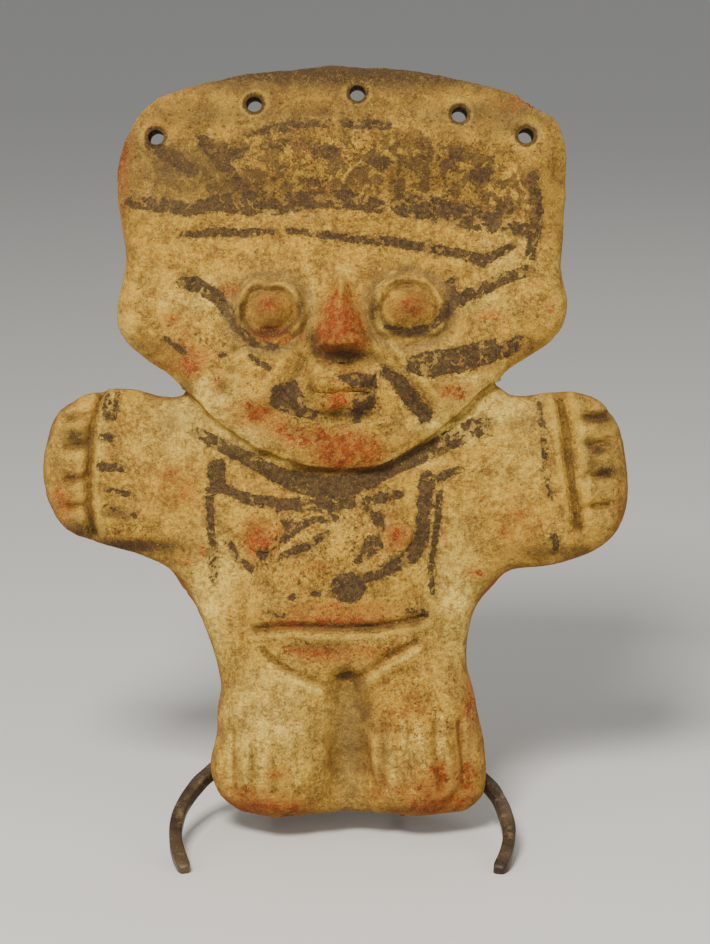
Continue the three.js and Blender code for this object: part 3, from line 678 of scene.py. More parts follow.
# Brown-black stains, and painted shade under the nose, mouth, chin, arms and feet and in grooves: (x, z, half
# width, half height, strength).
stainAndShadeSpots = [
    (-78, 100.4, 18, 3, 1), (-97, 106, 8, 4, 0.7), (78, 98.6, 20, 2.6, 0.5), (0, 170.6, 11, 3, 1),
    (-9, 172.4, 4, 3, 0.8), (0, 128.4, 18, 1.2, 0.7), (2, 51.4, 3.4, 1.6, 0.1), (8.6, 42, 2.4, 9, 0.4),
    (6, 47, 4, 5, 0.3), (-58, 160, 3, 5, 0.5), (1, 149.4, 10, 1.4, 0.7), (-12, 158, 2, 6, 0.5),
    (97, 148, 5, 3, 0.8), (95.4, 136, 4, 2, 0.8), (99, 128, 5, 2.6, 0.9), (93, 134, 2.6, 8, 0.5),
    (-100, 141.6, 5, 3.4, 0.8), (0, 71, 30, 1.3, 0.6), (-8, 64, 10, 2.4, 0.5), (-84.6, 112.6, 6, 3, 0.4),
    (-69, 174, 8, 5, 0.4), (70, 176, 7, 4, 0.3), (-15, 0.6, 26, 2, 0.35), (22, 1.6, 14, 2, 0.35),
    (-47, 250, 12, 3, 0.4), (30, 240, 22, 9, 0.5), (-30, 236, 40, 6, 0.5), (0, 279, 110, 9, 0.85),
    (-56, 262, 24, 7, 0.4), (58, 262, 24, 8, 0.45), (0, 265, 60, 4, 0.3), (-58, 243, 22, 10, 0.4),
    (-79, 240, 6, 22, 0.35), (79, 236, 5, 24, 0.35), (-26.6, 187, 6.4, 4.4, 0.3), (24.4, 187, 8, 5, 0.34),
    (-27, 180, 8, 2, 0.7), (-15.4, 188, 2.2, 7, 0.7), (25, 179, 10, 2, 0.9), (38.4, 188, 2.2, 7, 0.7),
    (-37.6, 188, 1.8, 6, 0.6), (11.6, 188, 2.2, 7, 0.8), (-11, 176, 2.6, 6, 0.7), (10.4, 178, 2.2, 6, 0.4),
    (-12, 262, 46, 2.2, 0.35), (-40, 174, 2, 2, 0.6), (-44, 160, 3, 3.4, 0.5), (-41, 166, 2, 2, 0.6),
    (10, 184, 2.6, 8, 0.25),
]
# Where the red clay shows through as a blush: (x, z, half width, half height, strength).
blushSpots = [
    (-30, 3, 18, 6, 0.85), (36, 8, 13, 9, 0.95), (45, 24, 5, 13, 0.55), (30, 0, 18, 4, 0.8),
    (14, 8, 6, 7, 0.5), (-32, 149, 13, 8, 0.5), (0, 136, 16, 8, 0.75), (-30, 104, 6, 6, 0.75),
    (20, 104.4, 6.6, 6.4, 0.75), (-0.6, 184, 9, 14, 0.6), (-26.6, 189, 7, 6, 0.6), (25, 189, 8.4, 6.4, 0.6),
    (0, 75, 26, 3, 0.5), (0, 60, 16, 5, 0.45), (-62, 124, 9, 9, 0.35), (66, 110, 10, 7, 0.35),
    (-83, 240, 4, 20, 0.7), (-60, 170, 10, 10, 0.45), (-2, 155, 5, 4, 0.4), (-104, 116, 5, 9, 0.5),
    (43, 159, 10, 5, 0.4), (22, 40, 10, 10, 0.3),
]
# Lines of pale slip and painted highlight along ridges and toes.
paleAndHighlightLines = [
    [(-42, 31), (-42, 12)], [(-35, 34), (-36, 10)], [(-20, 31), (-17, 12)], [(-29, 27), (-30, 13)],
    [(16, 31), (19, 14)],
    [(22.5, 35), (24, 18), (26, 10)], [(28, 34), (30, 19)], [(36.5, 37), (39, 23), (40, 13)],
    [(46, 36), (45.5, 12)],
    [(49.5, 46), (48, 20)], [(-27, 56.4), (-18, 50.6), (-9, 46.6)], [(28, 62), (18, 56), (9, 49.5)],
    [(47, 86), (45, 74), (45, 60)], [(-86, 157), (-89, 146), (-91.4, 128)],
    [(88.6, 154), (90, 141), (92.4, 124)], [(-78, 170), (-58, 158)],
]
# Smoke-greyed patches of the back: (x, z, half width, half height, strength).
fireClouds = [(18, 120, 40, 34, 0.7), (-40, 236, 34, 22, 0.5), (10, 30, 30, 20, 0.4)]
paint = {
    "rubbedRed": 2.9,
    "wear": 0.455,
    "crownWear": 0.015,
    "leastGrime": 0.32,
    "backGrime": 0.55,
    "backBare": 0.85,
    "ringGrey": 0.85,
    "laceSoot": 1.1,
}
netArea = [
    (-77, 231), (-77, 240), (-66, 250), (-38, 255), (-6, 257), (28, 255), (58, 250), (75, 240), (74, 220),
    (40, 226), (0, 231), (-44, 230),
]


def strengthAt(x, z, spots):
    total = np.zeros(len(x))
    for cx, cz, a, b, strength in spots:
        total = np.maximum(total, strength * np.exp(-(((x - cx) / a) ** 2) - ((z - cz) / b) ** 2))
    return total


def hollowness(mesh, places, normals):
    # how far each corner lies below its neighbours, in tenths of a millimetre
    pairs = np.empty(len(mesh.edges) * 2, int)
    mesh.edges.foreach_get("vertices", pairs)
    a, b = pairs.reshape(-1, 2).T
    count = np.maximum(np.bincount(np.concatenate((a, b)), minlength=len(places)), 1)

    def spread(values):
        total = np.bincount(a, values[b], len(values)) + np.bincount(b, values[a], len(values))
        return total / count

    around = np.stack([spread(places[:, k]) for k in range(3)], 1)
    for _ in range(5):
        around = np.stack([spread(around[:, k]) for k in range(3)], 1)
    depth = ((around - places) * normals).sum(1)
    return np.clip(spread(spread(depth)) * 10, -6, 6)


def addField(mesh, name, values):
    field = mesh.attributes.new(name, "FLOAT", "POINT")
    field.data.foreach_set("value", np.ascontiguousarray(values, np.float32))


def addPaint(mesh):
    places, normals = corners(mesh), facing(mesh)
    x, y, z = places.T
    backwards = ramp(y, -1.5, 1.5) * 9 + ramp(normals[:, 1], 0.1, 0.6) * 9
    dark = np.minimum.reduce(
        [lineDistance(x, z, path) for path in darkLines]
        + [areaDistance(x, z, area) for area in darkAreas]
        + [spotDistance(x, z, spot) for spot in darkSpots]
    )
    red = np.minimum.reduce(
        [lineDistance(x, z, path) for path in redLines]
        + [spotDistance(x, z, spot) for spot in redSpots]
        + [spotDistance(x, z, spot) + paint["rubbedRed"] for spot in rubbedRedSpots]
    )
    isFront = 1 - np.clip(backwards, 0, 1)
    fireCloud = strengthAt(x, z, fireClouds)
    # brown-black stains, and painted shade under things and in grooves
    stainAndShade = strengthAt(x, z, stainAndShadeSpots) * isFront
    grey = strengthAt(x, z, greySpots)
    # painted shade in the groove inside each eye's ring, darkest below the eye; the grey ring outside it is
    # paint
    for eye in eyes.values():
        away = ringDistance(x, z, eye)
        inner = ramp(eye["middle"][1] + 4 - z, -8, 10)
        stainAndShade = np.maximum(stainAndShade, (0.15 + 0.4 * inner) * np.exp(-(((away + 2.4) / 1.3) ** 2)) * isFront)
        grey = np.maximum(grey, paint["ringGrey"] * np.exp(-(((away - 3.2) / 2.2) ** 2)))
    for hx, hz in laceHoles:
        past = np.hypot(x - hx, z - hz)
        rim = ramp(past, figure["laceHole"] + 0.4, figure["laceHole"] + 2.2)
        stainAndShade = np.maximum(stainAndShade, paint["laceSoot"] * (1 - rim))
    addField(mesh, "darkPaint", np.clip(dark + backwards, -8, 8))
    addField(mesh, "redPaint", np.clip(red + backwards * 0.6, -8, 8))
    addField(mesh, "netPaint", np.clip(areaDistance(x, z, netArea) + backwards, -12, 8))
    streaks = np.minimum.reduce([lineDistance(x, z, path) for path in paleAndHighlightLines])
    # pale slip, and painted light on the neck, under the jaw, on the soles and on ridges
    pale = np.maximum(strengthAt(x, z, litAndPaleSpots), np.exp(-((streaks / 1.15) ** 2)))
    addField(mesh, "litAndPaleSlip", pale * isFront)
    addField(mesh, "blush", strengthAt(x, z, blushSpots) * isFront)
    addField(mesh, "greySlip", np.where(isFront > 0.5, grey, fireCloud))
    addField(mesh, "hollowness", hollowness(mesh, places, normals))
    addField(mesh, "stainAndShade", stainAndShade)
    addField(mesh, "bareClay", np.clip(backwards, 0, 1) * paint["backBare"])
    grime = np.maximum(paint["leastGrime"], strengthAt(x, z, grimeSpots)) * (1 - strengthAt(x, z, cleanAndLitSpots))
    addField(mesh, "grime", np.where(isFront > 0.5, grime, paint["backGrime"]))
    addField(mesh, "edge", ramp(1 - np.abs(normals[:, 1]), 0.25, 0.8))
    wear = paint["wear"] + paint["crownWear"] * ramp(z, 205, 226) - strengthAt(x, z, solidSpots)
    addField(mesh, "paintWear", wear)


def linear(red, green, blue):
    # from the values a colour picker shows, 0 to 255
    return (*[((c / 255 + 0.055) / 1.055) ** 2.4 if c > 10 else c / 3294 for c in (red, green, blue)], 1)


def addNode(tree, kind, values=None, **settings):
    made = tree.nodes.new(kind)
    for key, value in settings.items():
        setattr(made, key, value)
    for key, value in (values or {}).items():
        if isinstance(value, bpy.types.NodeSocket):
            tree.links.new(value, made.inputs[key])
        else:
            made.inputs[key].default_value = value
    return made


def maths(tree, operation, a, b=0.5, clamp=False):
    return addNode(tree, "ShaderNodeMath", {0: a, 1: b}, operation=operation, use_clamp=clamp).outputs[0]


def times(tree, a, b, clamp=False):
    return maths(tree, "MULTIPLY", a, b, clamp)


def remainder(tree, value):
    # what value leaves of 1, not below 0
    return maths(tree, "SUBTRACT", 1, value, True)


def blended(tree, share, a, b, kind="MIX"):
    made = addNode(tree, "ShaderNodeMix", {0: share, 6: a, 7: b}, data_type="RGBA", blend_type=kind)
    return made.outputs[2]


def spanned(tree, value, low, high, toLow=0, toHigh=1):
    made = addNode(
        tree, "ShaderNodeMapRange",
        {"Value": value, "From Min": low, "From Max": high, "To Min": toLow, "To Max": toHigh},
        interpolation_type="SMOOTHSTEP",
    )
    return made.outputs[0]


def noise(tree, vector, scale, detail=4, roughness=0.6, distortion=0):
    made = addNode(
        tree, "ShaderNodeTexNoise",
        {
            "Vector": vector,
            "Scale": scale,
            "Detail": detail,
            "Roughness": roughness,
            "Distortion": distortion,
        },
    )
    return made.outputs[0]


def field(tree, name):
    return addNode(tree, "ShaderNodeAttribute", attribute_name=name).outputs["Fac"]


def newGroup(name, inputs, outputs):
    # inputs with their first values, None for a vector; the outputs are numbers
    group = bpy.data.node_groups.new(name, "ShaderNodeTree")
    for label, value in inputs.items():
        kind = "NodeSocketVector" if value is None else "NodeSocketFloat"
        socket = group.interface.new_socket(label, in_out="INPUT", socket_type=kind)
        if value is not None:
            socket.default_value = value
    for label in outputs:
        group.interface.new_socket(label, in_out="OUTPUT", socket_type="NodeSocketFloat")
    return group, group.nodes.new("NodeGroupInput"), group.nodes.new("NodeGroupOutput")


def flakedPaintGroup():
    # a painted area with ragged edges, worn through in flakes
    tree, given, result = newGroup(
        "flakedPaint", {"Vector": None, "Field": 1.0, "Ragged": 1.0, "Wear": 0.4, "Grain": 0.25}, ["Mask"]
    )
    place = given.outputs["Vector"]
    coarse = maths(tree, "SUBTRACT", noise(tree, place, 0.3, 4, 0.62, 0.2), 0.5)
    jagged = maths(tree, "SUBTRACT", noise(tree, place, 1.1, 3, 0.6), 0.5)
    edge = maths(tree, "ADD", times(tree, coarse, 9), times(tree, jagged, 4))
    edge = times(tree, edge, given.outputs["Ragged"])
    edge = maths(tree, "ADD", given.outputs["Field"], edge)
    body = spanned(tree, edge, 0.12, -0.12)
    flakes = noise(tree, place, given.outputs["Grain"], 7, 0.66, 0.4)
    patchy = maths(tree, "SUBTRACT", noise(tree, place, 0.07, 3, 0.5), 0.5)
    patchy = times(tree, patchy, 0.3)
    limit = maths(tree, "ADD", given.outputs["Wear"], patchy)
    soft = 0.008
    kept = spanned(tree, flakes, maths(tree, "SUBTRACT", limit, soft), maths(tree, "ADD", limit, soft))
    tree.links.new(times(tree, body, kept), result.inputs["Mask"])
    return tree


def clayGrainGroup():
    # grit, pits and wiped streaks of an earthenware surface
    tree, given, result = newGroup("clayGrain", {"Vector": None}, ["Pits", "Height"])
    place = given.outputs["Vector"]
    grit = noise(tree, place, 1.25, 6, 0.68)
    coarse = noise(tree, place, 0.5, 6, 0.65)
    stretch = addNode(tree, "ShaderNodeMapping", {"Vector": place, "Scale": (0.5, 1, 1.5)}).outputs[0]
    pits = spanned(tree, noise(tree, stretch, 1.1, 6, 0.75), 0.4, 0.33)
    height = maths(tree, "ADD", times(tree, grit, 0.5), times(tree, coarse, 0.9))
    height = maths(tree, "SUBTRACT", height, times(tree, pits, 0.35))
    tree.links.new(pits, result.inputs["Pits"])
    tree.links.new(height, result.inputs["Height"])
    return tree


def scuffGroup():
    # scuffs and rubbed patches of a finished metal
    tree, given, result = newGroup("scuffs", {"Vector": None, "Scale": 1.0}, ["Patches", "Specks"])
    place = given.outputs["Vector"]
    scaled = addNode(
        tree, "ShaderNodeVectorMath", {0: place, "Scale": given.outputs["Scale"]}, operation="SCALE"
    ).outputs[0]
    tree.links.new(noise(tree, scaled, 0.16, 6, 0.65), result.inputs["Patches"])
    tree.links.new(spanned(tree, noise(tree, scaled, 1.3, 5, 0.7), 0.58, 0.68), result.inputs["Specks"])
    return tree


def newMaterial(name):
    material = bpy.data.materials.new(name)
    material.use_nodes = True
    tree = material.node_tree
    tree.nodes.clear()
    output = tree.nodes.new("ShaderNodeOutputMaterial")
    shader = tree.nodes.new("ShaderNodeBsdfPrincipled")
    tree.links.new(shader.outputs[0], output.inputs["Surface"])
    return material, tree, shader


def figureCoordinates(tree):
    # millimetres in the figure's own frame
    spot = pinInFigure - uprightTurn.to_3x3() @ (pinCentre * 1000)
    place = addNode(tree, "ShaderNodeTexCoord").outputs["Object"]
    return addNode(
        tree, "ShaderNodeMapping",
        {"Vector": place, "Location": spot, "Rotation": (leanAngle, 0, 0), "Scale": (1000, 1000, 1000)},
    ).outputs[0]


clayColours = {
    "slip": linear(184, 140, 47),
    "slipDeep": linear(134, 94, 33),
    # pale slip, also painted highlight on ridges
    "slipPale": linear(216, 177, 74),
    # cream slip, also painted light
    "litCreamSlip": linear(242, 210, 104),
    "slipGrey": linear(134, 108, 60),
    # brown of soil and dirt, also painted shade in hollows
    "shadeAndDirt": linear(72, 44, 20),
    # brown-black of stains and of painted shade
    "stainAndShade": linear(64, 42, 22),
    "bare": linear(206, 158, 104),
    "bareDeep": linear(172, 118, 70),
    "clay": linear(150, 78, 30),
    "paint": linear(60, 44, 26),
    "paintThin": linear(100, 76, 44),
    "red": linear(168, 70, 16),
    "redDeep": linear(116, 54, 20),
    "dust": linear(204, 167, 86),
    "netBrown": linear(76, 56, 32),
    "blush": linear(172, 92, 30),
}
clayLook = {
    "red": {"Ragged": 1.5, "Wear": 0.47, "Grain": 0.34},
    "dark": {"Ragged": 0.42, "Grain": 0.24},
    "redStrength": 0.85,
    "darkStrength": 0.92,
    "stainAndShadeStrength": 0.9,
    "bumpStrength": 1.0,
    "bumpDepth": 0.0014,
    "specular": 0.3,
}
flakedPaint = flakedPaintGroup()
clayGrain = clayGrainGroup()
scuffs = scuffGroup()


def grouped(tree, group, values):
    return addNode(tree, "ShaderNodeGroup", values, node_tree=group).outputs


def shade(tree, shader, colour, rough, height, strength, distance):
    bump = addNode(tree, "ShaderNodeBump", {"Height": height, "Strength": strength, "Distance": distance})
    for socket, value in (("Base Color", colour), ("Roughness", rough), ("Normal", bump.outputs[0])):
        tree.links.new(value, shader.inputs[socket])


def paintedClay():
    material, tree, shader = newMaterial("paintedClay")
    colours = clayColours
    place = figureCoordinates(tree)
    grain = grouped(tree, clayGrain, {"Vector": place})
    broad = noise(tree, place, 0.035, 4, 0.6)
    patches = noise(tree, place, 0.13, 10, 0.74)
    fine = noise(tree, place, 0.62, 8, 0.75)
    sand = noise(tree, place, 1.7, 6, 0.7)
    pale, grey, deep = field(tree, "litAndPaleSlip"), field(tree, "greySlip"), field(tree, "hollowness")
    stainAndShade, edge = field(tree, "stainAndShade"), field(tree, "edge")

    colour = blended(tree, spanned(tree, patches, 0.4, 0.6), colours["slip"], colours["slipDeep"])
    lighter = times(tree, spanned(tree, fine, 0.45, 0.58), 0.5)
    colour = blended(tree, lighter, colour, colours["slipPale"])
    # cream slip, and painted light on the neck, under the jaw, on the soles and on ridges
    paleShare = maths(tree, "ADD", pale, times(tree, spanned(tree, broad, 0.52, 0.68), 0.3), True)
    paleShare = times(tree, paleShare, spanned(tree, patches, 0.32, 0.6, 0.9, 0.4))
    paleShare = times(tree, paleShare, spanned(tree, fine, 0.38, 0.6, 0.55, 1.3), True)
    colour = blended(tree, paleShare, colour, colours["litCreamSlip"])
    # brown soil and clay showing through the thin slip
    rubbed = noise(tree, place, 0.3, 12, 0.8, 0.2)
    specks = times(tree, spanned(tree, rubbed, 0.54, 0.57), remainder(tree, grey))
    grime = field(tree, "grime")
    specks = times(tree, specks, spanned(tree, grime, 0.2, 1, 0.25, 0.6))
    colour = blended(tree, specks, colour, colours["clay"])
    soil = noise(tree, place, 0.8, 8, 0.7)
    soilShare = spanned(tree, patches, 0.36, 0.58, 0.35, 1)
    soilShare = maths(tree, "SUBTRACT", soilShare, times(tree, paleShare, 0.45))
    soiled = times(tree, spanned(tree, soil, 0.53, 0.58), soilShare, True)
    soiled = times(tree, soiled, grime)
    colour = blended(tree, times(tree, soiled, 0.75), colour, colours["shadeAndDirt"])
    colour = blended(tree, times(tree, grain["Pits"], 0.6), colour, colours["shadeAndDirt"])
    greyShare = times(tree, grey, spanned(tree, fine, 0.35, 0.65, 1, 0.6), True)
    colour = blended(tree, greyShare, colour, colours["slipGrey"])
    bare = times(tree, field(tree, "bareClay"), spanned(tree, patches, 0.35, 0.62, 1, 0.55))
    bareColour = blended(tree, spanned(tree, fine, 0.4, 0.62), colours["bare"], colours["bareDeep"])
    colour = blended(tree, bare, colour, bareColour)
    worn = times(tree, edge, spanned(tree, patches, 0.4, 0.56, 0.35, 0.8))
    wornColour = blended(tree, spanned(tree, fine, 0.42, 0.6), colours["slipDeep"], colours["clay"])
    colour = blended(tree, worn, colour, wornColour)
    # painted shade in hollows and painted highlight on ridges, from how deep each corner lies
    roughened = times(tree, fine, 1.6)
    grooveShade = spanned(tree, maths(tree, "ADD", deep, roughened), 1.4, 4.4, 0, 0.7)
    grooveShade = times(tree, grooveShade, remainder(tree, maths(tree, "MAXIMUM", grey, pale)))
    colour = blended(tree, grooveShade, colour, colours["shadeAndDirt"])
    # painted highlight on ridges
    ridgeHighlight = spanned(tree, maths(tree, "SUBTRACT", roughened, deep), 2, 4.4, 0, 0.55)
    colour = blended(tree, ridgeHighlight, colour, colours["slipPale"])

    blush = times(tree, field(tree, "blush"), spanned(tree, patches, 0.38, 0.56, 0.35, 1))
    colour = blended(tree, times(tree, blush, 0.8, True), colour, colours["blush"])

    redField = field(tree, "redPaint")
    red = grouped(tree, flakedPaint, {"Vector": place, "Field": redField, **clayLook["red"]})["Mask"]
    stain = times(tree, maths(tree, "SUBTRACT", patches, 0.5), 24)
    stain = maths(tree, "ADD", redField, stain)
    stain = spanned(tree, stain, 3.5, -1.5, 0, 0.55)
    redColour = blended(tree, spanned(tree, fine, 0.42, 0.58), colours["redDeep"], colours["red"])
    colour = blended(tree, stain, colour, colours["clay"])
    colour = blended(tree, times(tree, red, clayLook["redStrength"]), colour, redColour)

    darkField = field(tree, "darkPaint")
    flaking = {"Vector": place, "Field": darkField, "Wear": field(tree, "paintWear"), **clayLook["dark"]}
    dark = grouped(tree, flakedPaint, flaking)["Mask"]
    blotches = noise(tree, place, 0.17, 10, 0.74, 0.5)
    inNet = spanned(tree, field(tree, "netPaint"), 4, -6)
    net = times(tree, spanned(tree, blotches, 0.494, 0.502), inNet)
    speckled = spanned(tree, noise(tree, place, 0.4, 8, 0.7), 0.6, 0.612)
    speckled = times(tree, speckled, spanned(tree, grime, 0.35, 0.95, 0.1, 0.9))
    net = maths(tree, "MAXIMUM", times(tree, net, 0.8), times(tree, speckled, 0.9))
    net = times(tree, net, remainder(tree, times(tree, grey, 0.6)))
    painted = maths(tree, "MAXIMUM", dark, net)
    ghost = times(tree, maths(tree, "SUBTRACT", fine, 0.5), 12)
    ghost = maths(tree, "ADD", darkField, ghost)
    ghost = spanned(tree, ghost, 1.6, -0.8, 0, 0.5)
    colour = blended(tree, ghost, colour, colours["paintThin"])
    thinned = blended(tree, spanned(tree, fine, 0.42, 0.64), colours["paint"], colours["paintThin"])
    onlyNet = maths(tree, "SUBTRACT", net, dark, True)
    thinned = blended(tree, times(tree, onlyNet, 0.8), thinned, colours["netBrown"])
    thinned = blended(tree, times(tree, grey, 0.45), thinned, colours["slipGrey"])
    colour = blended(tree, times(tree, painted, clayLook["darkStrength"]), colour, thinned)
    # brown-black stains and painted shade
    stainedAndShaded = times(tree, stainAndShade, spanned(tree, fine, 0.36, 0.56, 0.8, 1.6), True)
    colour = blended(tree, times(tree, stainedAndShaded, clayLook["stainAndShadeStrength"]), colour, colours["stainAndShade"])
    dusty = spanned(tree, noise(tree, place, 1.9, 5, 0.7), 0.58, 0.68, 0, 0.5)
    dusty = times(tree, dusty, maths(tree, "MAXIMUM", painted, stainedAndShaded))
    colour = blended(tree, dusty, colour, colours["dust"])
    dots = spanned(tree, noise(tree, place, 1.15, 4, 0.65), 0.62, 0.65)
    dots = times(tree, dots, spanned(tree, grime, 0.2, 1, 0.5, 0.9))
    colour = blended(tree, dots, colour, colours["paint"])
    flecks = spanned(tree, noise(tree, place, 1.9, 5, 0.65), 0.585, 0.62, 0, 0.5)
    flecks = times(tree, flecks, remainder(tree, maths(tree, "MAXIMUM", grey, stainAndShade)))
    colour = blended(tree, times(tree, flecks, remainder(tree, painted)), colour, colours["slipPale"])
    gritty = spanned(tree, sand, 0.4, 0.6, -0.13, 0.12)
    gritty = maths(tree, "ADD", gritty, spanned(tree, patches, 0.4, 0.6, 1.06, 0.9))
    colour = addNode(
        tree, "ShaderNodeVectorMath", {0: colour, "Scale": gritty}, operation="SCALE"
    ).outputs[0]

    rough = maths(tree, "SUBTRACT", spanned(tree, fine, 0.3, 0.7, 0.8, 0.96), times(tree, grey, 0.16))
    shader.inputs["Specular IOR Level"].default_value = clayLook["specular"]
    height = maths(tree, "ADD", grain["Height"], times(tree, painted, 0.22))
    height = maths(tree, "ADD", height, times(tree, patches, 0.7))
    shade(tree, shader, colour, rough, height, clayLook["bumpStrength"], clayLook["bumpDepth"])
    return material


def firedSlip():
    material, tree, shader = newMaterial("firedSlip")
    place = figureCoordinates(tree)
    grain = grouped(tree, clayGrain, {"Vector": place})
    patches = noise(tree, place, 0.2, 6, 0.7)
    colour = blended(tree, spanned(tree, patches, 0.4, 0.62), clayColours["slipDeep"], clayColours["clay"])
    colour = blended(tree, times(tree, grain["Pits"], 0.7), colour, clayColours["shadeAndDirt"])
    shade(tree, shader, colour, spanned(tree, patches, 0.3, 0.7, 0.88, 0.96), grain["Height"], 0.6, 0.0006)
    return material


bronzeColours = {
    "brown": linear(92, 74, 52),
    "brownDark": linear(58, 46, 34),
    "rubbed": linear(150, 128, 88),
    "speck": linear(176, 150, 104),
}


def bronzedSteel():
    material, tree, shader = newMaterial("bronzedSteel")
    place = figureCoordinates(tree)
    marks = grouped(tree, scuffs, {"Vector": place, "Scale": 1.0})
    broad = noise(tree, place, 0.06, 5, 0.6)
    browner = spanned(tree, broad, 0.4, 0.62)
    colour = blended(tree, browner, bronzeColours["brown"], bronzeColours["brownDark"])
    rub = spanned(tree, marks["Patches"], 0.55, 0.68, 0, 0.6)
    colour = blended(tree, rub, colour, bronzeColours["rubbed"])
    colour = blended(tree, times(tree, marks["Specks"], 0.5), colour, bronzeColours["speck"])
    shader.inputs["Metallic"].default_value = 0.55
    texture = maths(tree, "ADD", noise(tree, place, 0.9, 6, 0.6), times(tree, marks["Patches"], 1.5))
    shade(tree, shader, colour, spanned(tree, marks["Patches"], 0.35, 0.7, 0.56, 0.38), texture, 0.3, 0.0004)
    return material


rubberColours = {"black": linear(30, 28, 26), "dust": linear(92, 84, 72)}


def blackRubber():
    material, tree, shader = newMaterial("blackRubber")
    place = figureCoordinates(tree)
    dust = noise(tree, place, 0.5, 8, 0.7)
    dusty = spanned(tree, dust, 0.48, 0.7, 0, 0.5)
    colour = blended(tree, dusty, rubberColours["black"], rubberColours["dust"])
    rough = spanned(tree, dust, 0.3, 0.7, 0.62, 0.88)
    shade(tree, shader, colour, rough, noise(tree, place, 1.6, 5, 0.6), 0.25, 0.0003)
    return material


print("making materials")
materials = {"clay": paintedClay(), "slip": firedSlip(), "bronze": bronzedSteel(), "rubber": blackRubber()}


def addPiece(name, mesh, material, body, nodes, matrix, sharp=50):
    # a finished piece, moved into the row frame and riding on its body
    mesh.transform(matrix)
    mesh.name = name
    mesh.materials.clear()
    mesh.materials.append(materials[material])
    mesh.shade_smooth()
    mesh.set_sharp_from_angle(angle=math.radians(sharp))
    piece = makeObject(name, mesh)
    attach(piece, body)
    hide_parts(*nodes)


shells = {"front_shell": (frontMesh, "clay"), "back_shell": (backMesh, "clay")}
for name, (mesh, slot) in shells.items():
    addPaint(mesh)
    addPiece(f"{name}_fired", mesh, "clay", "figure", [name], figureToRow)
addPiece("seam_slip_fired", slipMesh, "slip", "figure", ["seam_slip"], figureToRow)
for name, mesh in appliedMeshes.items():
    addPaint(mesh)
    slot = "clay" if "ring" in name or "lip" in name else "red_clay"
    addPiece(f"{name}_clay", mesh, "clay", "figure", [name], figureToRow, 70)
print("figure done")


easel = {
    "bar": 4.8,
    "barEdge": 0.8,
    "uneven": 0.12,
    "bow": 61.5,
    "wrap": math.radians(23),
    "sweep": math.radians(82.4),
    "tipRound": 3.4,
    "tipHeight": 1.0,
    "hubWidth": 16,
    "setback": 32.025,
    "hubLevel": 27,
    "gap": 0.3,
    "prong": 1.6,
    "prongSpread": 23,
    "sleeveWall": 0.8,
    "sleeveLength": 11,
    "bumper": 7,
    "bumperSpread": 36,
    "restLevel": 186,
}


def standPoint(x, y, z):
    # figure millimetres to upright millimetres
    return uprightTurn.inverted() @ Vector((x, y, z)) + Vector((0, 0, seatHeight))


def addStandPiece(name, mesh, material, node, matrix=standToRow, body="stand"):
    addPiece(name, mesh, material, body, [node], matrix, 40)


def seal(bm):
    bmesh.ops.remove_doubles(bm, verts=bm.verts, dist=1e-4)
    bmesh.ops.recalc_face_normals(bm, faces=bm.faces)


def frontLeg(side):
    hub = standPoint(0, easel["setback"], easel["hubLevel"])
    bow, wrap, edge = easel["bow"], easel["wrap"], easel["bar"] / 2
    rise = (hub.z - easel["tipHeight"]) / (bow * (1 + math.sin(wrap)))
    pitch = math.asin(rise)
    bm = bmesh.new()
    section = [(bow + a, 0, b) for a, b in ((-edge, -edge), (edge, -edge), (edge, edge), (-edge, edge))]
    ring = [bm.verts.new(p) for p in section]
    bmesh.ops.rotate(bm, verts=ring, matrix=Matrix.Rotation(-wrap, 3, "Z"), cent=(0, 0, 0))
    start = bm.faces.new(ring)
    geom = [start, *start.edges, *ring]
    angle = easel["sweep"] + wrap
    bmesh.ops.spin(bm, geom=geom, cent=(0, 0, 0), axis=(0, 0, 1), angle=angle, steps=56)
    seal(bm)
    tip = Vector((bow * math.cos(wrap), -bow * math.sin(wrap), 0))
    long, end = [], []
    for e in bm.edges:
        along = (e.verts[0].co - e.verts[1].co).normalized()
        middle = (e.verts[0].co + e.verts[1].co) / 2
        atTip = all((v.co - tip).length < 3.6 for v in e.verts)
        tangent = Vector((-middle.y, middle.x, 0)).normalized()
        if abs(along.dot(tangent)) > 0.95:
            long.append(e)
        elif atTip:
            end.append(e)
    bmesh.ops.bevel(
        bm, geom=long + end, offset=easel["barEdge"], segments=3, profile=0.5, affect="EDGES", material=-1
    )
    # the tip is rounded off
    for vert in bm.verts:
        swing = math.atan2(vert.co.y, vert.co.x) + wrap
        short = 1 - min(swing * bow / easel["tipRound"], 1)
        if swing < 0.2 and short > 0:
            pinch = math.sqrt(1 - 0.62 * short**2)
            flat = Vector((vert.co.x, vert.co.y, 0)).normalized() * bow
            vert.co = flat + (vert.co - flat) * pinch
    # a hand-forged bar isn't quite even
    places = np.array([v.co for v in bm.verts])
    worn = easel["uneven"] * unevenness(places, 14, 30 + side)
    bm.normal_update()
    for vert, amount in zip(bm.verts, worn):
        vert.co += vert.normal * float(amount)
    turn = Matrix.Translation((0, hub.y - bow * math.cos(pitch), hub.z - bow * math.sin(pitch)))
    bmesh.ops.transform(bm, verts=bm.verts, matrix=turn @ Matrix.Rotation(pitch, 4, "X"))
    cut = bmesh.ops.bisect_plane(
        bm, geom=[*bm.verts, *bm.edges, *bm.faces], plane_co=(0, 0, 0), plane_no=(0, 0, -1), clear_outer=True
    )
    rim = [g for g in cut["geom_cut"] if isinstance(g, bmesh.types.BMEdge)]
    bmesh.ops.holes_fill(bm, edges=rim, sides=0)
    if side < 0:
        bmesh.ops.scale(bm, vec=(-1, 1, 1), verts=bm.verts)
        bmesh.ops.recalc_face_normals(bm, faces=bm.faces)
    return meshFrom(bm, "leg")


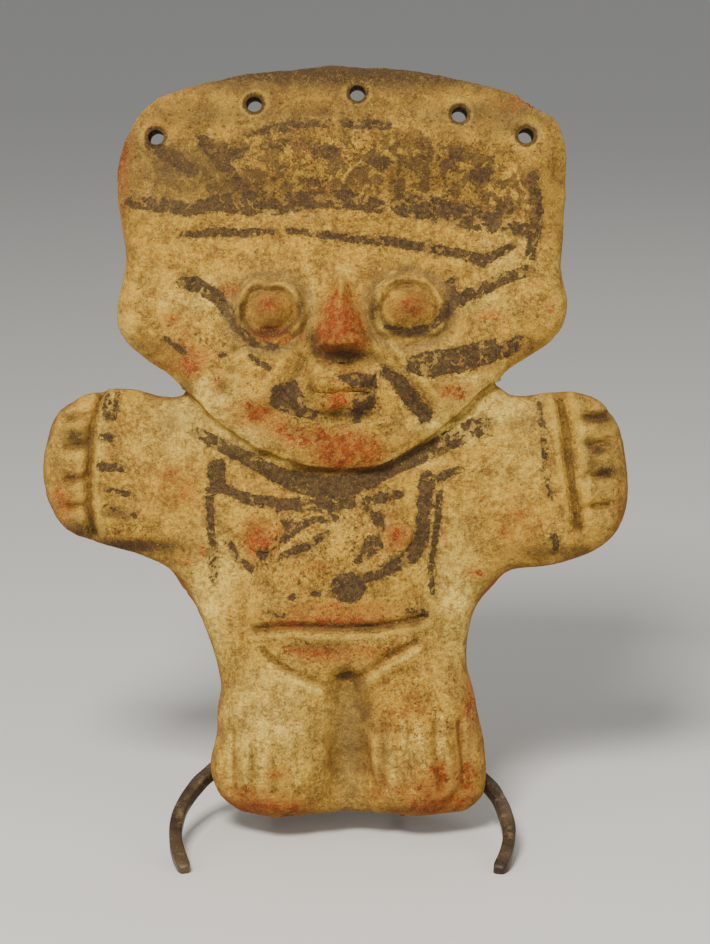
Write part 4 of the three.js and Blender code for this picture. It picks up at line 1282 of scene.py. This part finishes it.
for name, side in (("left", -1), ("right", 1)):
    addStandPiece(f"{name}_front_leg_bar", frontLeg(side), "bronze", f"{name}_front_leg")


def rodAlong(points, radius, name):
    curve = bpy.data.curves.new(name, "CURVE")
    curve.dimensions = "3D"
    spline = curve.splines.new("NURBS")
    spline.points.add(len(points) - 1)
    for spot, point in zip(spline.points, points):
        spot.co = (*point, 1)
    spline.use_endpoint_u = True
    spline.order_u = 4
    spline.resolution_u = 8
    curve.bevel_depth = radius
    curve.bevel_resolution = 6
    curve.use_fill_caps = True
    holder = makeObject(name, curve)
    graph = bpy.context.evaluated_depsgraph_get()
    made = bpy.data.meshes.new_from_object(holder.evaluated_get(graph))
    bpy.data.objects.remove(holder)
    bm = bmesh.new()
    bm.from_mesh(made)
    seal(bm)
    bm.to_mesh(made)
    bm.free()
    return made


def turned(profile, along, centre, steps=48):
    # a lathe shape: profile of (distance along, radius) about an axis
    bm = bmesh.new()
    line = [bm.verts.new((r, 0, a)) for a, r in profile]
    edges = [bm.edges.new(pair) for pair in zip(line[:-1], line[1:])]
    bmesh.ops.spin(
        bm, geom=line + edges, cent=(0, 0, 0), axis=(0, 0, 1), angle=2 * math.pi, steps=steps, use_merge=True
    )
    seal(bm)
    turn = Vector((0, 0, 1)).rotation_difference(Vector(along)).to_matrix().to_4x4()
    bmesh.ops.transform(bm, verts=bm.verts, matrix=Matrix.Translation(centre) @ turn)
    return meshFrom(bm, "turned")


soleHeight = standPoint(0, -6, 0.6).z
gap = easel["gap"]
prongLevel = soleHeight - gap - easel["sleeveWall"] - gap - easel["prong"]
hubFoot = standPoint(0, easel["setback"], 20)
# How far along a bumper, and the share of its radius there.
bumperLength = 11.2
bumperProfile = [
    (0, 0), (0, 0.55), (0.3, 0.8), (1, 0.95), (2.2, 1), (8, 1), (10.6, 0.82), (bumperLength, 0.6),
    (bumperLength, 0),
]
for name, side in (("left", -1), ("right", 1)):
    reach = side * easel["prongSpread"]
    root = side * (easel["hubWidth"] / 2 - 2 * easel["prong"])
    path = [
        (root, hubFoot.y, hubFoot.z - 0.3),
        (root + (reach - root) * 0.2, hubFoot.y - 0.2, hubFoot.z * 0.84),
        (root + (reach - root) * 0.5, hubFoot.y - 0.6, hubFoot.z * 0.66),
        (root + (reach - root) * 0.9, hubFoot.y - 2.4, prongLevel + 1.6),
        (reach, hubFoot.y - 8, prongLevel),
        (reach, 17, prongLevel),
        (reach, 10.5, prongLevel),
        (reach, 5, prongLevel),
    ]
    rod = rodAlong([Vector(p) for p in path], easel["prong"], "rod")
    addStandPiece(f"{name}_prong_rod", rod, "bronze", f"{name}_ledge_prong")
    inner = easel["prong"] + 0.12
    outer = easel["prong"] + gap + easel["sleeveWall"]
    long = easel["sleeveLength"]
    profile = [
        (0, inner), (0, outer - 0.3), (0.1, outer - 0.1), (0.35, outer), (long - 0.35, outer),
        (long - 0.1, outer - 0.1), (long, outer - 0.3), (long, inner), (0, inner),
    ]
    sleeve = turned(profile, (0, 1, 0), (reach, 5.4, prongLevel))
    addStandPiece(f"{name}_sleeve_tube", sleeve, "rubber", f"{name}_prong_sleeve")
    restFront = easel["setback"] - 3 - gap - easel["bar"]
    behind = Vector((side * easel["bumperSpread"], 80, easel["restLevel"]))
    front = skinTree.ray_cast(behind, Vector((0, -1, 0)))[0]
    depth = restFront - gap - front.y
    profile = [(a * depth / bumperLength, easel["bumper"] * share) for a, share in bumperProfile]
    bumper = turned(profile, (0, 1, 0), (side * easel["bumperSpread"], front.y, easel["restLevel"]))
    addStandPiece(f"{name}_bumper_pad", bumper, "rubber", f"{name}_back_bumper", figureToRow)


filed = {
    "hub_block": {"edge": 1.0, "steps": 6, "uneven": 0.12, "body": "stand"},
    "upright_post": {"edge": 0.7, "steps": 40, "uneven": 0.12, "body": "stand"},
    "back_rest_bar": {"edge": 0.7, "steps": 24, "uneven": 0.12, "body": "stand"},
    "hinge_bracket": {"edge": 0.35, "steps": 0, "uneven": 0, "body": "stand"},
    "hinge_pin": {"edge": 0.55, "steps": 0, "uneven": 0, "body": "stand"},
    "rear_leg": {"edge": 0.7, "steps": 0, "uneven": 0, "body": "rear_leg"},
}
weld = {"postRadius": 3.9, "legRadius": 3.3, "bead": 1.0, "uneven": 0.24}


def filedMesh(name):
    # the plain piece again, in figure millimetres, with filed edges and faces as uneven as filed says
    bm = bmesh.new()
    bm.from_mesh(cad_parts[name].data)
    bmesh.ops.transform(bm, verts=bm.verts, matrix=figureToRow.inverted())
    bmesh.ops.remove_doubles(bm, verts=bm.verts, dist=1e-3)
    flat = math.radians(2)
    bmesh.ops.dissolve_limit(bm, angle_limit=flat, verts=bm.verts, edges=bm.edges)
    long = max(e.calc_length() for e in bm.edges)
    if filed[name]["steps"]:
        lengthwise = [e for e in bm.edges if e.calc_length() > 0.9 * long]
        bmesh.ops.subdivide_edges(bm, edges=lengthwise, cuts=filed[name]["steps"], use_grid_fill=True)
    sharp = [e for e in bm.edges if e.calc_face_angle(0) > math.radians(35)]
    bmesh.ops.bevel(
        bm, geom=sharp, offset=filed[name]["edge"], segments=3, profile=0.5, affect="EDGES", material=-1,
        clamp_overlap=True,
    )
    bm.normal_update()
    places = np.array([v.co for v in bm.verts])
    for vert, amount in zip(bm.verts, filed[name]["uneven"] * unevenness(places, 16, 41)):
        vert.co += vert.normal * float(amount)
    return meshFrom(bm, name)


def weldBead(centre, along, radius):
    turns = np.linspace(0, 2 * math.pi, 13)
    profile = [(weld["bead"] * math.sin(t), radius + weld["bead"] * math.cos(t)) for t in turns]
    bead = turned(profile, along, centre, 40)
    places = corners(bead)
    lumps = weld["uneven"] * unevenness(places, 2.4, 43)
    setCorners(bead, places + facing(bead) * lumps[:, None])
    return bead


for name, finish in filed.items():
    mesh = filedMesh(name)
    if name == "hub_block":
        bm = bmesh.new()
        bm.from_mesh(mesh)
        setback, level = easel["setback"], easel["hubLevel"]
        bm.from_mesh(weldBead((0, setback, level + 7.2), (0, 0, 1), weld["postRadius"]))
        for side in (-1, 1):
            hubFace = (side * easel["hubWidth"] / 2, setback, level)
            bm.from_mesh(weldBead(hubFace, (1, 0, 0), weld["legRadius"]))
        mesh = meshFrom(bm, name)
    addStandPiece(f"{name}_filed", mesh, "bronze", name, figureToRow, finish["body"])
print("easel done")


def studio():
    bm = bmesh.new()
    bmesh.ops.create_grid(bm, x_segments=2, y_segments=2, size=14)
    floor = makeObject("floor", meshFrom(bm, "floor"))
    material, tree, shader = newMaterial("paleFloor")
    shader.inputs["Base Color"].default_value = linear(214, 214, 212)
    shader.inputs["Roughness"].default_value = 0.85
    floor.data.materials.append(material)
    world = bpy.data.worlds.new("studio")
    bpy.context.scene.world = world
    world.use_nodes = True
    background = world.node_tree.nodes["Background"]
    background.inputs[0].default_value = linear(232, 232, 230)
    background.inputs[1].default_value = 0.4
    aim = figureToRow @ Vector((0, 0, 150))
    lights = {
        "above": {"at": (-0.25, -0.78, 0.98), "size": 0.34, "power": 19.4},
        "left": {"at": (-0.95, -0.75, 0.6), "size": 0.8, "power": 3},
        "behind": {"at": (0.5, 1.1, 1.5), "size": 1, "power": 3.5},
        "right": {"at": (1.0, -0.65, 0.65), "size": 0.8, "power": 3},
    }
    for name, light in lights.items():
        lamp = bpy.data.lights.new(name, "AREA")
        lamp.size = light["size"]
        lamp.energy = light["power"]
        lamp.color = (1, 0.95, 0.86)
        holder = makeObject(name, lamp)
        holder.location = light["at"]
        holder.rotation_euler = (aim - holder.location).to_track_quat("-Z", "Y").to_euler()


view = {
    "down": math.radians(12.5),
    "away": 1.0,
    "lens": 100.9,
    "right": 0.0047,
    "below": 0.0118,
    "middle": 140,
}


def camera():
    data = bpy.data.cameras.new("camera")
    data.lens = view["lens"]
    data.sensor_width = 36
    data.clip_start = 0.05
    made = makeObject("camera", data)
    forward = Vector((0, math.cos(view["down"]), -math.sin(view["down"])))
    up = Vector((0, math.sin(view["down"]), math.cos(view["down"])))
    middle = figureToRow @ Vector((0, 0, view["middle"]))
    made.location = middle + Vector((view["right"], 0, 0)) - up * view["below"] - forward * view["away"]
    made.rotation_euler = (math.pi / 2 - view["down"], 0, 0)
    bpy.context.scene.camera = made


studio()
camera()
print("studio done")
